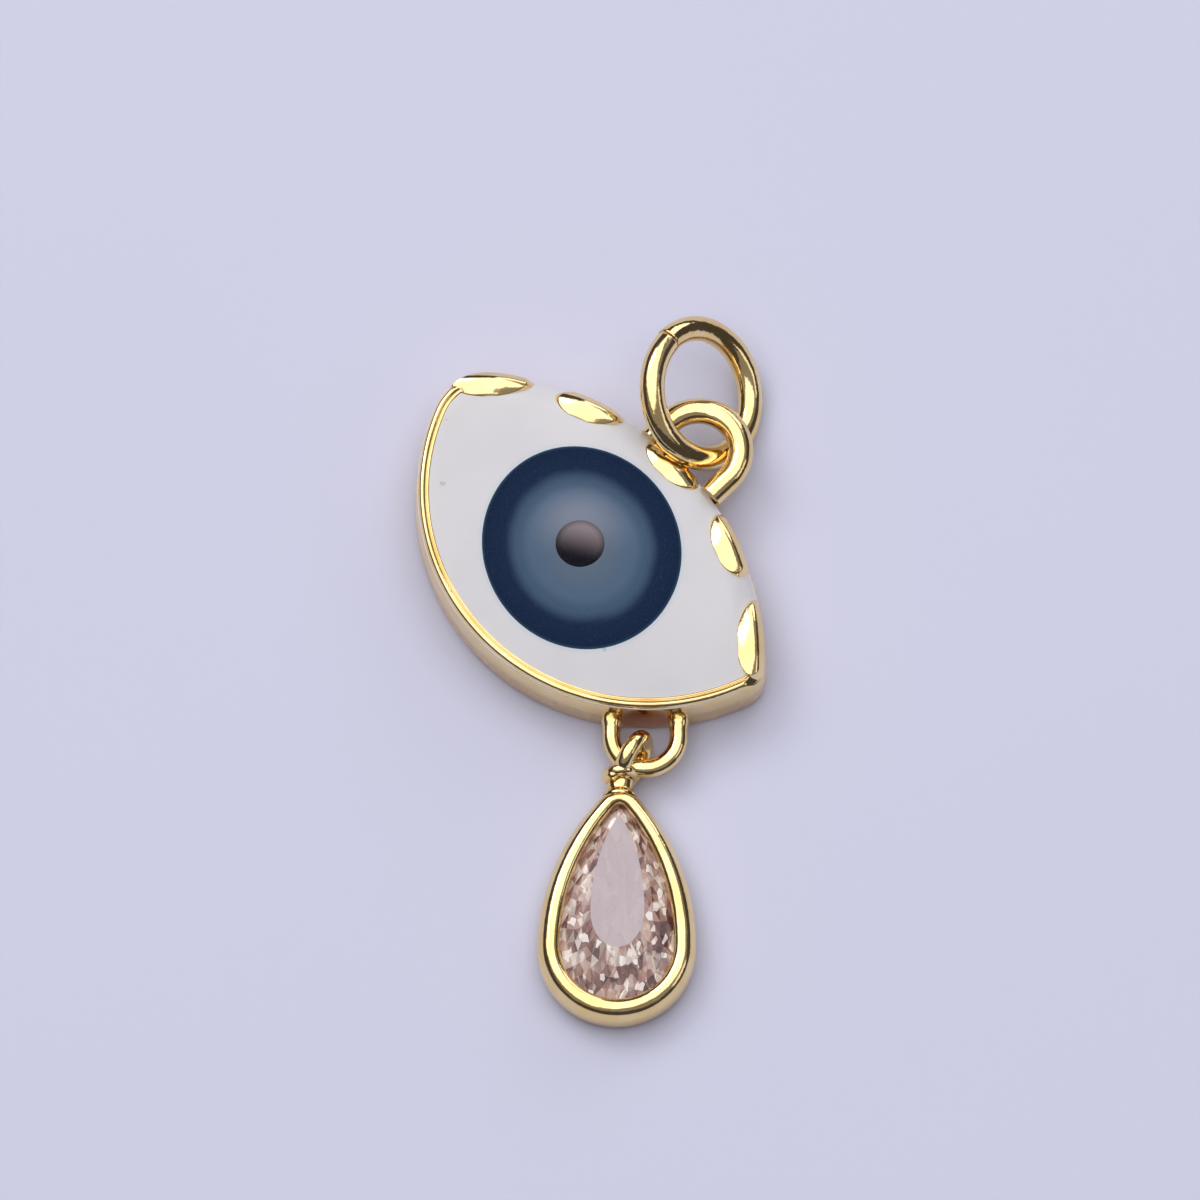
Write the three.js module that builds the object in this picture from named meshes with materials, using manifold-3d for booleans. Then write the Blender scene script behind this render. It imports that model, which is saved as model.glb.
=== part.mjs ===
// Evil eye charm: an enamelled eye tray, a jump ring on a soldered bail, and a pear drop on a small hanger.
// Millimetres, +Z up. The charm lies on its back, its face upwards and its jump ring towards +Y.
import * as THREE from "three";
import { mergeVertices } from "three/addons/utils/BufferGeometryUtils.js";
import { ConvexGeometry } from "three/addons/geometries/ConvexGeometry.js";
import Module from "manifold-3d";

const wasm = await Module();
wasm.setup();

const FIT = 0.012; // clearance left all round between two pieces that sit in one another

// Eye tray, in its own frame: x along the eye from the blunt corner to the sharp one, y towards the
// upper lid.
const EYE = {
  centre: [0.77, 3.75],
  turnDeg: -45,
  cornerSpacing: 11.62,
  bluntRadius: 2.03,
  sharpRadius: 0.9,
  upperLidRadius: 10.03,
  lowerLidRadius: 7.68,
  rimWidth: 0.44,
  thinEdge: 0.08,
  floor: 1.45,
  lidSlopeEdge: 1.6,
  lidSlopeTop: 2.1,
  lidSlopeWidth: 0.6,
};
// Outer wall and rim bead, as inset from the outline against height.
const TRAY_WALL = [
  [0.12, 0],
  [-0.04, 0.14],
  [-0.08, 0.7],
  [-0.06, 1.4],
  [0, 1.86],
  [0.07, 2.05],
  [0.2, 2.15],
  [0.31, 2.11],
  [0.44, 1.98],
];
const LASH = {
  count: 5,
  pitchDeg: 20.3,
  middleDeg: 89.2,
  halfLength: 1.42,
  halfWidth: 0.42,
  inset: 0.2,
  turnDeg: 7,
  rooted: 0.25,
};
// How far the side wall swells past the outline.
const WALL_BULGE = -Math.min(...TRAY_WALL.map(([inset]) => inset));
const ENAMEL = { edge: 1.98, rise: 0.46, slopeDrop: 0.05 };
const IRIS = { centre: [-0.67, -0.83], semi: [3.6, 3.29], turnDeg: -23, depth: 0.3, proud: 0.015 };
const PUPIL = { offset: [-0.1, 0.02], radius: 0.82, depth: 0.12, proud: 0.03 };

// Soldered half rings: straight legs, then half a circle.
const BAIL = {
  at: -0.46,
  height: 1.65,
  centreY: 4.47,
  radius: 1.4,
  wire: 0.43,
  filletWire: 0.55,
  filletLength: 0.16,
};
const HANGER = {
  x: 1.82,
  centreY: -2.56,
  height: 0.95,
  radius: 1.12,
  wire: 0.31,
  filletWire: 0.43,
  filletLength: 0.14,
};

// Jump ring: bent round wire with a sawn gap, leaning on the bail.
const RING = {
  centre: [3.685, 9.157, 1.928],
  tiltDeg: 42,
  leanDeg: -11,
  radius: 2.19,
  wire: 0.42,
  cutDeg: 147,
  gapDeg: 3,
  springOut: 0.07,
};

// Drop: pear bezel cup, in its own frame with the stone's round end at the origin and its point towards +y.
const DROP = { centre: [0.87, -9.87], turnDeg: -1.2, roundRadius: 2.6, flankRadius: 7.7, tipRadius: 0.95 };
const BEZEL_WALL = [
  [0.3, 0],
  [0.08, 0.12],
  [-0.04, 0.4],
  [-0.05, 0.8],
  [0.02, 1.06],
  [0.16, 1.3],
  [0.34, 1.44],
  [0.5, 1.43],
  [0.64, 1.32],
  [0.7, 1.2],
  [0.63, 1.06],
  [0.63, 0.82],
  [0.92, 0.58],
  [0.92, 0.2],
];
const GEM = {
  girdleInset: 0.66,
  girdle: [0.88, 0.95],
  crownScale: 0.84,
  crownZ: 1.13,
  tableScale: 0.56,
  tableZ: 1.27,
};
const GEM_BACK = { scale: 0.55, z: 0.5, culetZ: 0.27, middleY: 0.55 };
const COLLAR = { radius: 0.43, length: 0.36, height: 0.72, lip: 0.03 };
const WRAP = { core: 0.28, coreLength: 0.4, radius: 0.33, wire: 0.15, turnDeg: 12, lift: 0.11 };
const LOOP = {
  halfLength: 0.81,
  halfHeight: 0.68,
  wire: 0.27,
  squareness: 2.6,
  leanDeg: 29,
  rollDeg: 14,
  hangerDeg: 243,
  fromHanger: 0.2,
};

const deg = THREE.MathUtils.degToRad;
const v2 = (x, y) => new THREE.Vector2(x, y);
const v3 = (x, y, z) => new THREE.Vector3(x, y, z);

// ---- solids ----------------------------------------------------------------

function solid(geometry) {
  const bare = geometry.clone();
  bare.deleteAttribute("normal");
  bare.deleteAttribute("uv");
  const merged = mergeVertices(bare, 1e-4);
  return new wasm.Manifold(
    new wasm.Mesh({
      numProp: 3,
      vertProperties: new Float32Array(merged.attributes.position.array),
      triVerts: new Uint32Array(merged.index.array),
    }),
  );
}

function geometryOf(made) {
  const mesh = made.getMesh();
  const geometry = new THREE.BufferGeometry();
  geometry.setAttribute("position", new THREE.BufferAttribute(new Float32Array(mesh.vertProperties), 3));
  geometry.setIndex(new THREE.BufferAttribute(new Uint32Array(mesh.triVerts), 1));
  geometry.computeVertexNormals();
  return geometry;
}

function prism(points, bottom, top) {
  const geometry = new THREE.ExtrudeGeometry(new THREE.Shape(points), {
    depth: top - bottom,
    bevelEnabled: false,
  });
  geometry.translate(0, 0, bottom);
  return solid(geometry);
}

// Closed stack of rings with equal point counts, capped by a fan at each end.
function ringStack(rings) {
  const n = rings[0].length;
  const position = [];
  for (const ring of rings) for (const p of ring) position.push(p.x, p.y, p.z);
  const index = [];
  for (let r = 0; r + 1 < rings.length; r++) {
    for (let i = 0; i < n; i++) {
      const a = r * n + i;
      const b = r * n + ((i + 1) % n);
      index.push(a, b, b + n, a, b + n, a + n);
    }
  }
  const cap = (ring, start, flip) => {
    const mid = ring.reduce((sum, p) => sum.add(p), v3(0, 0, 0)).divideScalar(n);
    const m = position.length / 3;
    position.push(mid.x, mid.y, mid.z);
    for (let i = 0; i < n; i++) {
      const a = start + i;
      const b = start + ((i + 1) % n);
      index.push(...(flip ? [m, b, a] : [m, a, b]));
    }
  };
  cap(rings[0], 0, true);
  cap(rings.at(-1), (rings.length - 1) * n, false);
  const geometry = new THREE.BufferGeometry();
  geometry.setAttribute("position", new THREE.Float32BufferAttribute(position, 3));
  geometry.setIndex(index);
  return solid(geometry);
}

// Round wire along a curve, its ends flat.
function wire(curve, radius, steps, sides = 14) {
  const circle = new THREE.Shape();
  for (let i = 0; i < sides; i++) {
    const a = (2 * Math.PI * i) / sides;
    if (i === 0) circle.moveTo(radius, 0);
    else circle.lineTo(radius * Math.cos(a), radius * Math.sin(a));
  }
  circle.closePath();
  const geometry = new THREE.ExtrudeGeometry(circle, { steps, extrudePath: curve, bevelEnabled: false });
  return solid(geometry);
}

class PathCurve extends THREE.Curve {
  constructor(at) {
    super();
    this.at = at;
  }
  getPoint(t, target = new THREE.Vector3()) {
    return target.copy(this.at(t));
  }
}

// ---- outlines --------------------------------------------------------------

const arcPoints = (cx, cy, r, from, to, n) =>
  Array.from({ length: n }, (_, i) => {
    const a = from + ((to - from) * i) / n;
    return v2(cx + r * Math.cos(a), cy + r * Math.sin(a));
  });

// Centre height of a lid's circle, which touches both corner circles from outside.
function lidCentre(radius, side) {
  const half = EYE.cornerSpacing / 2;
  const toBlunt = radius - EYE.bluntRadius;
  const toSharp = radius - EYE.sharpRadius;
  const x = (toBlunt ** 2 - toSharp ** 2) / (4 * half);
  const y = Math.sqrt(toBlunt ** 2 - (x + half) ** 2);
  return v2(x, -side * y);
}
const UPPER = lidCentre(EYE.upperLidRadius, 1);
const LOWER = lidCentre(EYE.lowerLidRadius, -1);

// The eye's outline moved inwards by inset: four arcs, anticlockwise.
function eyeOutline(inset) {
  const half = EYE.cornerSpacing / 2;
  const at = (c, x) => Math.atan2(-c.y, x - c.x);
  const upSharp = at(UPPER, half);
  const upBlunt = at(UPPER, -half);
  const lowSharp = at(LOWER, half);
  const lowBlunt = at(LOWER, -half) + 2 * Math.PI;
  return [
    ...arcPoints(UPPER.x, UPPER.y, EYE.upperLidRadius - inset, upSharp, upBlunt, 44),
    ...arcPoints(-half, 0, EYE.bluntRadius - inset, upBlunt, lowBlunt, 16),
    ...arcPoints(LOWER.x, LOWER.y, EYE.lowerLidRadius - inset, lowBlunt, lowSharp + 2 * Math.PI, 44),
    ...arcPoints(half, 0, EYE.sharpRadius - inset, lowSharp, upSharp, 12),
  ];
}

// The drop's pear outline moved inwards by inset, anticlockwise from the left flank's foot.
function pearOutline(inset, round = 30, flank = 16, tip = 5) {
  const offset = DROP.flankRadius - DROP.roundRadius;
  const r = DROP.flankRadius - inset;
  const tipRadius = Math.max(DROP.tipRadius - inset, 0.08);
  const tipY = Math.sqrt((r - tipRadius) ** 2 - offset ** 2);
  const end = Math.atan2(tipY, offset);
  return [
    ...arcPoints(0, 0, DROP.roundRadius - inset, Math.PI, 2 * Math.PI, round),
    ...arcPoints(-offset, 0, r, 0, end, flank),
    ...arcPoints(0, tipY, tipRadius, end, Math.PI - end, tip),
    ...arcPoints(offset, 0, r, Math.PI - end, Math.PI, flank),
  ];
}

const lift = (points, z) => points.map((p) => v3(p.x, p.y, z));
const ellipse = (cx, cy, a, b, turn = 0, n = 40) =>
  Array.from({ length: n }, (_, i) => {
    const t = (2 * Math.PI * i) / n;
    return v2(a * Math.cos(t), b * Math.sin(t)).rotateAround(v2(0, 0), turn).add(v2(cx, cy));
  });

// ---- eye -------------------------------------------------------------------

// Five lash lands along the upper lid; those either side of the middle one are turned so their outer
// ends run off it.
function lashPrisms(grow, bottom, top) {
  return Array.from({ length: LASH.count }, (_, i) => {
    const step = i - (LASH.count - 1) / 2;
    const a = deg(LASH.middleDeg + step * LASH.pitchDeg);
    const r = EYE.upperLidRadius - LASH.inset;
    const turn = a + Math.PI / 2 + Math.sign(step) * deg(LASH.turnDeg);
    return prism(
      ellipse(
        UPPER.x + r * Math.cos(a),
        UPPER.y + r * Math.sin(a),
        LASH.halfLength + grow,
        LASH.halfWidth + grow,
        turn,
      ),
      bottom,
      top,
    );
  });
}

// Space the enamel fills: inside the rim, and out to the thin edge between the lashes.
function enamelSpace(grow, bottom, top) {
  const spread = deg(((LASH.count - 1) / 2) * LASH.pitchDeg);
  const middle = deg(LASH.middleDeg);
  const near = EYE.upperLidRadius - 1.5;
  const far = EYE.upperLidRadius + 1;
  const wedge = [
    ...arcPoints(UPPER.x, UPPER.y, far, middle - spread, middle + spread, 24),
    ...arcPoints(UPPER.x, UPPER.y, near, middle + spread, middle - spread, 24),
  ];
  const bays = prism(eyeOutline(EYE.thinEdge + grow), bottom, top).intersect(prism(wedge, bottom, top));
  let space = prism(eyeOutline(EYE.rimWidth + grow), bottom, top).add(bays);
  for (const lash of lashPrisms(grow, bottom - 1, top + 1)) space = space.subtract(lash);
  return space;
}

// Everything above the upper lid's outward slope, as a ring about the lid's own centre.
function aboveLidSlope(drop) {
  const r = EYE.upperLidRadius;
  const run = EYE.lidSlopeWidth;
  const rise = (EYE.lidSlopeTop - EYE.lidSlopeEdge) / run;
  const out = 0.5;
  const section = [
    v2(r - run * 2, EYE.lidSlopeTop + rise * run - drop),
    v2(r + out, EYE.lidSlopeEdge - rise * out - drop),
    v2(r + out, 4),
    v2(r - run * 2, 4),
    v2(r - run * 2, EYE.lidSlopeTop + rise * run - drop),
  ];
  const geometry = new THREE.LatheGeometry(section, 150);
  geometry.rotateX(Math.PI / 2);
  geometry.translate(UPPER.x, UPPER.y, 0);
  return solid(geometry);
}

// A plate with the eye's outline and a domed top.
function domedPlate(bottom, lifted) {
  const full = eyeOutline(0);
  const mid = v2(IRIS.centre[0], IRIS.centre[1] * 0.4);
  const rings = [lift(full, bottom)];
  for (let k = 0; k < 9; k++) {
    const scale = Math.cos((k / 9) * (Math.PI / 2)) ** 0.8;
    const z = ENAMEL.edge + ENAMEL.rise * (1 - scale ** 2.2) + lifted;
    rings.push(full.map((p) => v3(mid.x + (p.x - mid.x) * scale, mid.y + (p.y - mid.y) * scale, z)));
  }
  return ringStack(rings);
}

function eyeTray() {
  const rings = TRAY_WALL.map(([inset, z]) => lift(eyeOutline(inset), z));
  const body = ringStack([...rings, lift(eyeOutline(EYE.rimWidth), EYE.floor)]);
  const outside = prism(eyeOutline(0), 1, 3);
  const lashes = lashPrisms(0, EYE.floor - LASH.rooted, EYE.lidSlopeTop + LASH.rooted);
  let made = body;
  for (const lash of lashes) made = made.add(lash.intersect(outside));
  return made.subtract(enamelSpace(0, EYE.floor, 4)).subtract(aboveLidSlope(0));
}

const irisPrism = (grow, bottom, top) =>
  prism(
    ellipse(...IRIS.centre, IRIS.semi[0] + grow, IRIS.semi[1] + grow, deg(IRIS.turnDeg), 72),
    bottom,
    top,
  );
const pupilPrism = (grow, bottom, top) => {
  const [x, y] = IRIS.centre;
  const r = PUPIL.radius + grow;
  return prism(ellipse(x + PUPIL.offset[0], y + PUPIL.offset[1], r, r, 0, 40), bottom, top);
};
const IRIS_FLOOR = ENAMEL.edge + ENAMEL.rise - IRIS.depth - 0.12;
const PUPIL_FLOOR = ENAMEL.edge + ENAMEL.rise - PUPIL.depth;

function whiteEnamel() {
  return domedPlate(EYE.floor + FIT, 0)
    .intersect(enamelSpace(FIT, EYE.floor + FIT, 4))
    .subtract(aboveLidSlope(ENAMEL.slopeDrop))
    .subtract(irisPrism(FIT, IRIS_FLOOR - FIT, 4));
}

function irisEnamel() {
  return domedPlate(EYE.floor + FIT, IRIS.proud)
    .intersect(irisPrism(0, IRIS_FLOOR, 4))
    .subtract(pupilPrism(FIT, PUPIL_FLOOR - FIT, 4));
}

function pupilEnamel() {
  return domedPlate(EYE.floor + FIT, PUPIL.proud).intersect(pupilPrism(0, PUPIL_FLOOR, 4));
}

// Half ring opening towards -y, its legs running on past the wall, with a solder cone round each foot.
function halfRing(size, legLength, wallY) {
  const arc = Math.PI * size.radius;
  const total = arc + 2 * legLength;
  const curve = new PathCurve((t) => {
    const s = t * total;
    if (s < legLength) return v3(-size.radius, s - legLength, 0);
    if (s > legLength + arc) return v3(size.radius, legLength + arc - s, 0);
    const a = (s - legLength) / size.radius;
    return v3(-size.radius * Math.cos(a), size.radius * Math.sin(a), 0);
  });
  let made = wire(curve, size.wire, 44);
  for (const side of [-1, 1]) {
    const foot = legLength - size.filletLength - wallY;
    const length = size.filletLength + foot;
    const cone = new THREE.CylinderGeometry(size.wire * 0.98, size.filletWire, length, 16);
    cone.translate(side * size.radius, -wallY - (foot + size.filletLength) / 2 + size.filletLength, 0);
    made = made.add(solid(cone));
  }
  return made;
}

const SOLDER_REACH = 0.5; // how far a leg is drawn on past the wall before it is cut to it
const ABOVE = 4; // higher than any piece of the tray

// Everything within the tray's side wall, from below the table to above the enamel.
const trayWallSpace = () => prism(eyeOutline(-WALL_BULGE - FIT), -1, ABOVE);

function bailLoop() {
  const wall = EYE.upperLidRadius + UPPER.y;
  const gap = BAIL.centreY - wall;
  const ring = halfRing(BAIL, gap + SOLDER_REACH, gap).translate([BAIL.at, BAIL.centreY, BAIL.height]);
  return ring.subtract(trayWallSpace());
}

const toWorld = (made) => made.rotate([0, 0, EYE.turnDeg]).translate([EYE.centre[0], EYE.centre[1], 0]);

function hangerLoop() {
  const wall = toWorld(trayWallSpace());
  const lowest = wall.boundingBox().min[1];
  const gap = lowest - HANGER.centreY;
  return halfRing(HANGER, gap + SOLDER_REACH, gap)
    .rotate([0, 0, 180])
    .translate([HANGER.x, HANGER.centreY, HANGER.height])
    .subtract(wall);
}

// ---- jump ring ---------------------------------------------------------------

function jumpRing() {
  const gap = deg(RING.gapDeg);
  const start = deg(RING.cutDeg) + gap / 2;
  const sweep = 2 * Math.PI - gap;
  const curve = new PathCurve((t) => {
    const a = start + sweep * t;
    return v3(RING.radius * Math.cos(a), RING.radius * Math.sin(a), RING.springOut * (0.5 - t));
  });
  return wire(curve, RING.wire, 72)
    .rotate([0, RING.tiltDeg, 0])
    .rotate([0, 0, RING.leanDeg])
    .translate(RING.centre);
}

// ---- drop ----------------------------------------------------------------------

const dropToWorld = (made) => made.rotate([0, 0, DROP.turnDeg]).translate([...DROP.centre, 0]);
const dropTip = () => Math.max(...pearOutline(-0.05).map((p) => p.y));

function dropBezel() {
  return dropToWorld(ringStack(BEZEL_WALL.map(([inset, z]) => lift(pearOutline(inset), z))));
}

// Pear brilliant: the hull of its table, crown, girdle and back rings and its culet.
function gemStone() {
  const girdle = pearOutline(GEM.girdleInset, 13, 5, 1);
  const middle = v2(0, GEM_BACK.middleY);
  const scaled = (k, z, every, start) =>
    girdle
      .filter((_, i) => i % every === start)
      .map((p) => v3(middle.x + (p.x - middle.x) * k, middle.y + (p.y - middle.y) * k, z));
  const points = [
    ...lift(girdle, GEM.girdle[0]),
    ...lift(girdle, GEM.girdle[1]),
    ...scaled(GEM.crownScale, GEM.crownZ, 2, 1),
    ...scaled(GEM.tableScale, GEM.tableZ, 3, 0),
    ...scaled(GEM_BACK.scale, GEM_BACK.z, 2, 0),
    v3(middle.x, middle.y, GEM_BACK.culetZ),
  ];
  return dropToWorld(solid(new ConvexGeometry(points)));
}

const collarTop = () => dropTip() + FIT + COLLAR.length;

// Short turned peg between the bezel's point and the wrapped wire.
function dropCollar(grow = 0) {
  const bottom = dropTip() + FIT - grow;
  const top = collarTop() + grow;
  const r = COLLAR.radius + grow;
  const section = [
    v2(0, bottom),
    v2(r, bottom),
    v2(r + COLLAR.lip, bottom + 0.08),
    v2(r, bottom + 0.17),
    v2(r, top - 0.08),
    v2(r - 0.08, top),
    v2(0, top),
  ];
  const peg = solid(new THREE.LatheGeometry(section, 28));
  return dropToWorld(peg.translate([0, 0, COLLAR.height]));
}

// The drop's own loop and the turn that binds it to the neck, one bent wire.
function dropLoop() {
  const power = 2 / LOOP.squareness;
  const bend = (c, size) => size * Math.sign(c) * Math.abs(c) ** power;
  const oval = new PathCurve((t) => {
    const a = 2 * Math.PI * t;
    return v3(0, bend(Math.cos(a), LOOP.halfLength), bend(Math.sin(a), LOOP.halfHeight));
  });
  const loop = wireRing(oval, LOOP.wire, 44, 12);
  const angle = deg(LOOP.hangerDeg);
  const crossing = v2(
    HANGER.x + HANGER.radius * Math.cos(angle),
    HANGER.centreY + HANGER.radius * Math.sin(angle),
  );
  const along = v2(Math.sin(deg(LOOP.leanDeg)), Math.cos(deg(LOOP.leanDeg)));
  const placed = loop
    .rotate([0, -LOOP.rollDeg, 0])
    .rotate([0, 0, -LOOP.leanDeg])
    .translate([
      crossing.x + along.x * LOOP.fromHanger,
      crossing.y + along.y * LOOP.fromHanger,
      HANGER.height,
    ]);
  const bind = solid(new THREE.TorusGeometry(WRAP.radius, WRAP.wire, 12, 28))
    .rotate([90 + WRAP.turnDeg, 0, -WRAP.turnDeg])
    .translate([0, collarTop() + WRAP.lift, COLLAR.height]);
  const core = solid(new THREE.CylinderGeometry(WRAP.core, WRAP.core, WRAP.coreLength, 18))
    .translate([0, collarTop() + WRAP.lift * 0.35, COLLAR.height]);
  return placed.add(dropToWorld(bind.add(core))).subtract(dropCollar(FIT));
}

// Round wire along a closed curve.
function wireRing(curve, radius, steps, sides) {
  const rings = [];
  const frames = curve.computeFrenetFrames(steps, true);
  for (let i = 0; i < steps; i++) {
    const p = curve.getPointAt(i / steps);
    const ring = [];
    for (let j = 0; j < sides; j++) {
      const a = (2 * Math.PI * j) / sides;
      ring.push(
        p
          .clone()
          .addScaledVector(frames.normals[i], radius * Math.cos(a))
          .addScaledVector(frames.binormals[i], radius * Math.sin(a)),
      );
    }
    rings.push(ring);
  }
  const position = rings.flat().flatMap((p) => [p.x, p.y, p.z]);
  const index = [];
  for (let i = 0; i < steps; i++) {
    for (let j = 0; j < sides; j++) {
      const a = i * sides + j;
      const b = i * sides + ((j + 1) % sides);
      const c = ((i + 1) % steps) * sides + ((j + 1) % sides);
      const d = ((i + 1) % steps) * sides + j;
      index.push(a, b, c, a, c, d);
    }
  }
  const geometry = new THREE.BufferGeometry();
  geometry.setAttribute("position", new THREE.Float32BufferAttribute(position, 3));
  geometry.setIndex(index);
  return solid(geometry);
}

// ---- the charm -------------------------------------------------------------------

const gold = { color: 0xd9b25f, roughness: 0.18, metalness: 1 };
const PIECES = [
  ["eye_tray", toWorld(eyeTray()), gold],
  ["white_enamel", toWorld(whiteEnamel()), { color: 0xeeedf0, roughness: 0.25, metalness: 0 }],
  ["iris_enamel", toWorld(irisEnamel()), { color: 0x2b4a75, roughness: 0.2, metalness: 0 }],
  ["pupil_enamel", toWorld(pupilEnamel()), { color: 0x2c272e, roughness: 0.2, metalness: 0 }],
  ["bail_loop", toWorld(bailLoop()), gold],
  ["hanger_loop", hangerLoop(), gold],
  ["jump_ring", jumpRing(), gold],
  ["drop_loop", dropLoop(), gold],
  ["drop_collar", dropCollar(), gold],
  ["drop_bezel", dropBezel(), gold],
  ["gem", gemStone(), { color: 0xd9bcb6, roughness: 0.05, metalness: 0 }],
];

const group = new THREE.Group();
for (const [name, made, look] of PIECES) {
  const mesh = new THREE.Mesh(geometryOf(made), new THREE.MeshStandardMaterial(look));
  mesh.name = name;
  group.add(mesh);
}

// The frame's origin is the middle of the charm's footprint, on the table.
const box = new THREE.Box3().setFromObject(group);
const middle = box.getCenter(v3(0, 0, 0));
for (const mesh of group.children) mesh.geometry.translate(-middle.x, -middle.y, -box.min.z);

export default group;
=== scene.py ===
"""Looks of a gold evil eye charm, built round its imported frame: enamelled eye, rings and pear drop."""

import logging
import math
import random
from dataclasses import dataclass, field
from enum import Enum
from functools import cache, cached_property
from typing import Any, Callable, Iterable, Sequence

import bmesh
import bpy
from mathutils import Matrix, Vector, noise


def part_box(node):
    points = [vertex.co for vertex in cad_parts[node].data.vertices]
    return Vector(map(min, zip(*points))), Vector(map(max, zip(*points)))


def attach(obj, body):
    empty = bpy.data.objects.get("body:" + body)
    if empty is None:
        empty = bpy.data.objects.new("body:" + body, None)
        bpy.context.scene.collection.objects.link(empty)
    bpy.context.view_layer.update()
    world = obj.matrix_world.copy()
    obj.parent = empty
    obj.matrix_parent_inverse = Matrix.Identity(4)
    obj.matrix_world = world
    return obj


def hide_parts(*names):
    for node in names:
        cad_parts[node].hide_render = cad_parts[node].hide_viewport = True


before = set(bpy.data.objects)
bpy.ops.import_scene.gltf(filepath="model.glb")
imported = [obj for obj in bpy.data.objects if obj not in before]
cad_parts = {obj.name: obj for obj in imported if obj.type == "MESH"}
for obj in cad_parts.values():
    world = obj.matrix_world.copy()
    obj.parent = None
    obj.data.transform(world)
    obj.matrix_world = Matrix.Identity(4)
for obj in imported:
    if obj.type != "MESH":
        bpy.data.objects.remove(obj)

LOG = logging.getLogger("charm")
MM = 0.001
SEED = 7
Point = tuple[float, float]
Colour = tuple[float, float, float]
Ring = list[tuple[float, float, float]]


class Body(Enum):
    """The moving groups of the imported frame."""

    EYE = "eye"
    JUMP_RING = "jump_ring"
    DROP = "drop"


# ---- numbers -----------------------------------------------------------------


def mix(a: float, b: float, t: float) -> float:
    """Value between a and b."""
    return a + (b - a) * t


def smooth_step(low: float, high: float, x: float) -> float:
    """Soft step from 0 at low to 1 at high."""
    t = min(1.0, max(0.0, (x - low) / (high - low)))
    return t * t * (3 - 2 * t)


def soft_min(a: float, b: float, width: float) -> float:
    """The lower of two heights, rounded where they cross over width."""
    h = max(0.0, width - abs(a - b)) / width
    return min(a, b) - h * h * width / 4


def soft_max(a: float, b: float, width: float) -> float:
    """The higher of two heights, rounded where they cross over width."""
    return -soft_min(-a, -b, width)


def turned(p: Point, degrees: float) -> Point:
    """Point p turned about the origin."""
    c, s = math.cos(math.radians(degrees)), math.sin(math.radians(degrees))
    return p[0] * c - p[1] * s, p[0] * s + p[1] * c


def arc(centre: Point, radius: float, start: float, end: float, count: int) -> list[Point]:
    """Points along an arc, its end left out.

    Args:
        centre: Middle of the circle.
        radius: Radius of the circle.
        start: First angle in radians.
        end: Last angle in radians, not reached.
        count: Number of points.

    Returns:
        The points in order.
    """
    steps = (start + (end - start) * i / count for i in range(count))
    return [(centre[0] + radius * math.cos(a), centre[1] + radius * math.sin(a)) for a in steps]


def flowing(points: Sequence[Point], per_span: int) -> list[Point]:
    """Smooth line through points, by Catmull-Rom spans.

    Args:
        points: Points the line passes through.
        per_span: Samples on each span.

    Returns:
        The sampled line, with both ends.
    """
    full = [points[0], *points, points[-1]]
    line: list[Point] = []
    for a, b, c, d in zip(full, full[1:], full[2:], full[3:]):
        for i in range(per_span):
            t = i / per_span
            line.append(
                tuple(
                    0.5 * (2 * b[k] + (c[k] - a[k]) * t
                           + (2 * a[k] - 5 * b[k] + 4 * c[k] - d[k]) * t * t
                           + (3 * b[k] - a[k] - 3 * c[k] + d[k]) * t**3)
                    for k in range(2)
                )
            )
    return [*line, tuple(points[-1])]


def box_middle(node: str) -> Vector:
    """Middle of a CAD node's box, in millimetres."""
    low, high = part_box(node)
    return (low + high) / 2 / MM


# ---- meshes ------------------------------------------------------------------


@dataclass
class Shell:
    """Vertices and faces of one piece, gathered in millimetres in the row frame."""

    name: str
    points: list[tuple[float, float, float]] = field(default_factory=list)
    faces: list[tuple[int, ...]] = field(default_factory=list)

    def stack(self, rings: Sequence[Ring]) -> None:
        """Skins a stack of rings with equal point counts, the first one lowest, and closes both ends.

        Args:
            rings: The rings, each anticlockwise seen from above.
        """
        start, n = len(self.points), len(rings[0])
        for ring in rings:
            self.points.extend(ring)
        for r in range(len(rings) - 1):
            for i in range(n):
                a, b = start + r * n + i, start + r * n + (i + 1) % n
                self.faces.append((a, b, b + n, a + n))
        self._fan(start, n, True)
        self._fan(start + (len(rings) - 1) * n, n, False)

    def _fan(self, start: int, n: int, flip: bool) -> None:
        """Closes a ring of n points with triangles round its middle."""
        ring = self.points[start : start + n]
        self.points.append(tuple(sum(p[k] for p in ring) / n for k in range(3)))
        hub = len(self.points) - 1
        for i in range(n):
            a, b = start + i, start + (i + 1) % n
            self.faces.append((hub, b, a) if flip else (hub, a, b))

    def build(self, crease_deg: float = 50.0) -> bpy.types.Object:
        """Makes the object, its faces smooth and its edges sharp past an angle.

        Args:
            crease_deg: Angle between faces past which an edge stays sharp.

        Returns:
            The new object, at the origin.
        """
        mesh = bpy.data.meshes.new(self.name)
        mesh.from_pydata([[c * MM for c in p] for p in self.points], [], self.faces)
        mesh.validate()
        mesh.polygons.foreach_set("use_smooth", [True] * len(mesh.polygons))
        mesh.set_sharp_from_angle(angle=math.radians(crease_deg))
        made = bpy.data.objects.new(self.name, mesh)
        bpy.context.scene.collection.objects.link(made)
        return made


def settle(
    piece: bpy.types.Object,
    body: Body,
    nodes: Sequence[str],
    finish: bpy.types.Material | None,
) -> bpy.types.Object:
    """Gives a piece its finish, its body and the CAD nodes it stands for.

    Args:
        piece: The finished object.
        body: The moving group it rides on.
        nodes: CAD nodes it stands for.
        finish: Its material, or None if the mesh already has it.

    Returns:
        The same object.
    """
    if finish is not None:
        piece.data.materials.clear()
        piece.data.materials.append(finish)
    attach(piece, body.value)
    if nodes:
        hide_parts(*nodes)
    LOG.info("%s: %d faces on %s", piece.name, len(piece.data.polygons), body.value)
    return piece


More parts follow.
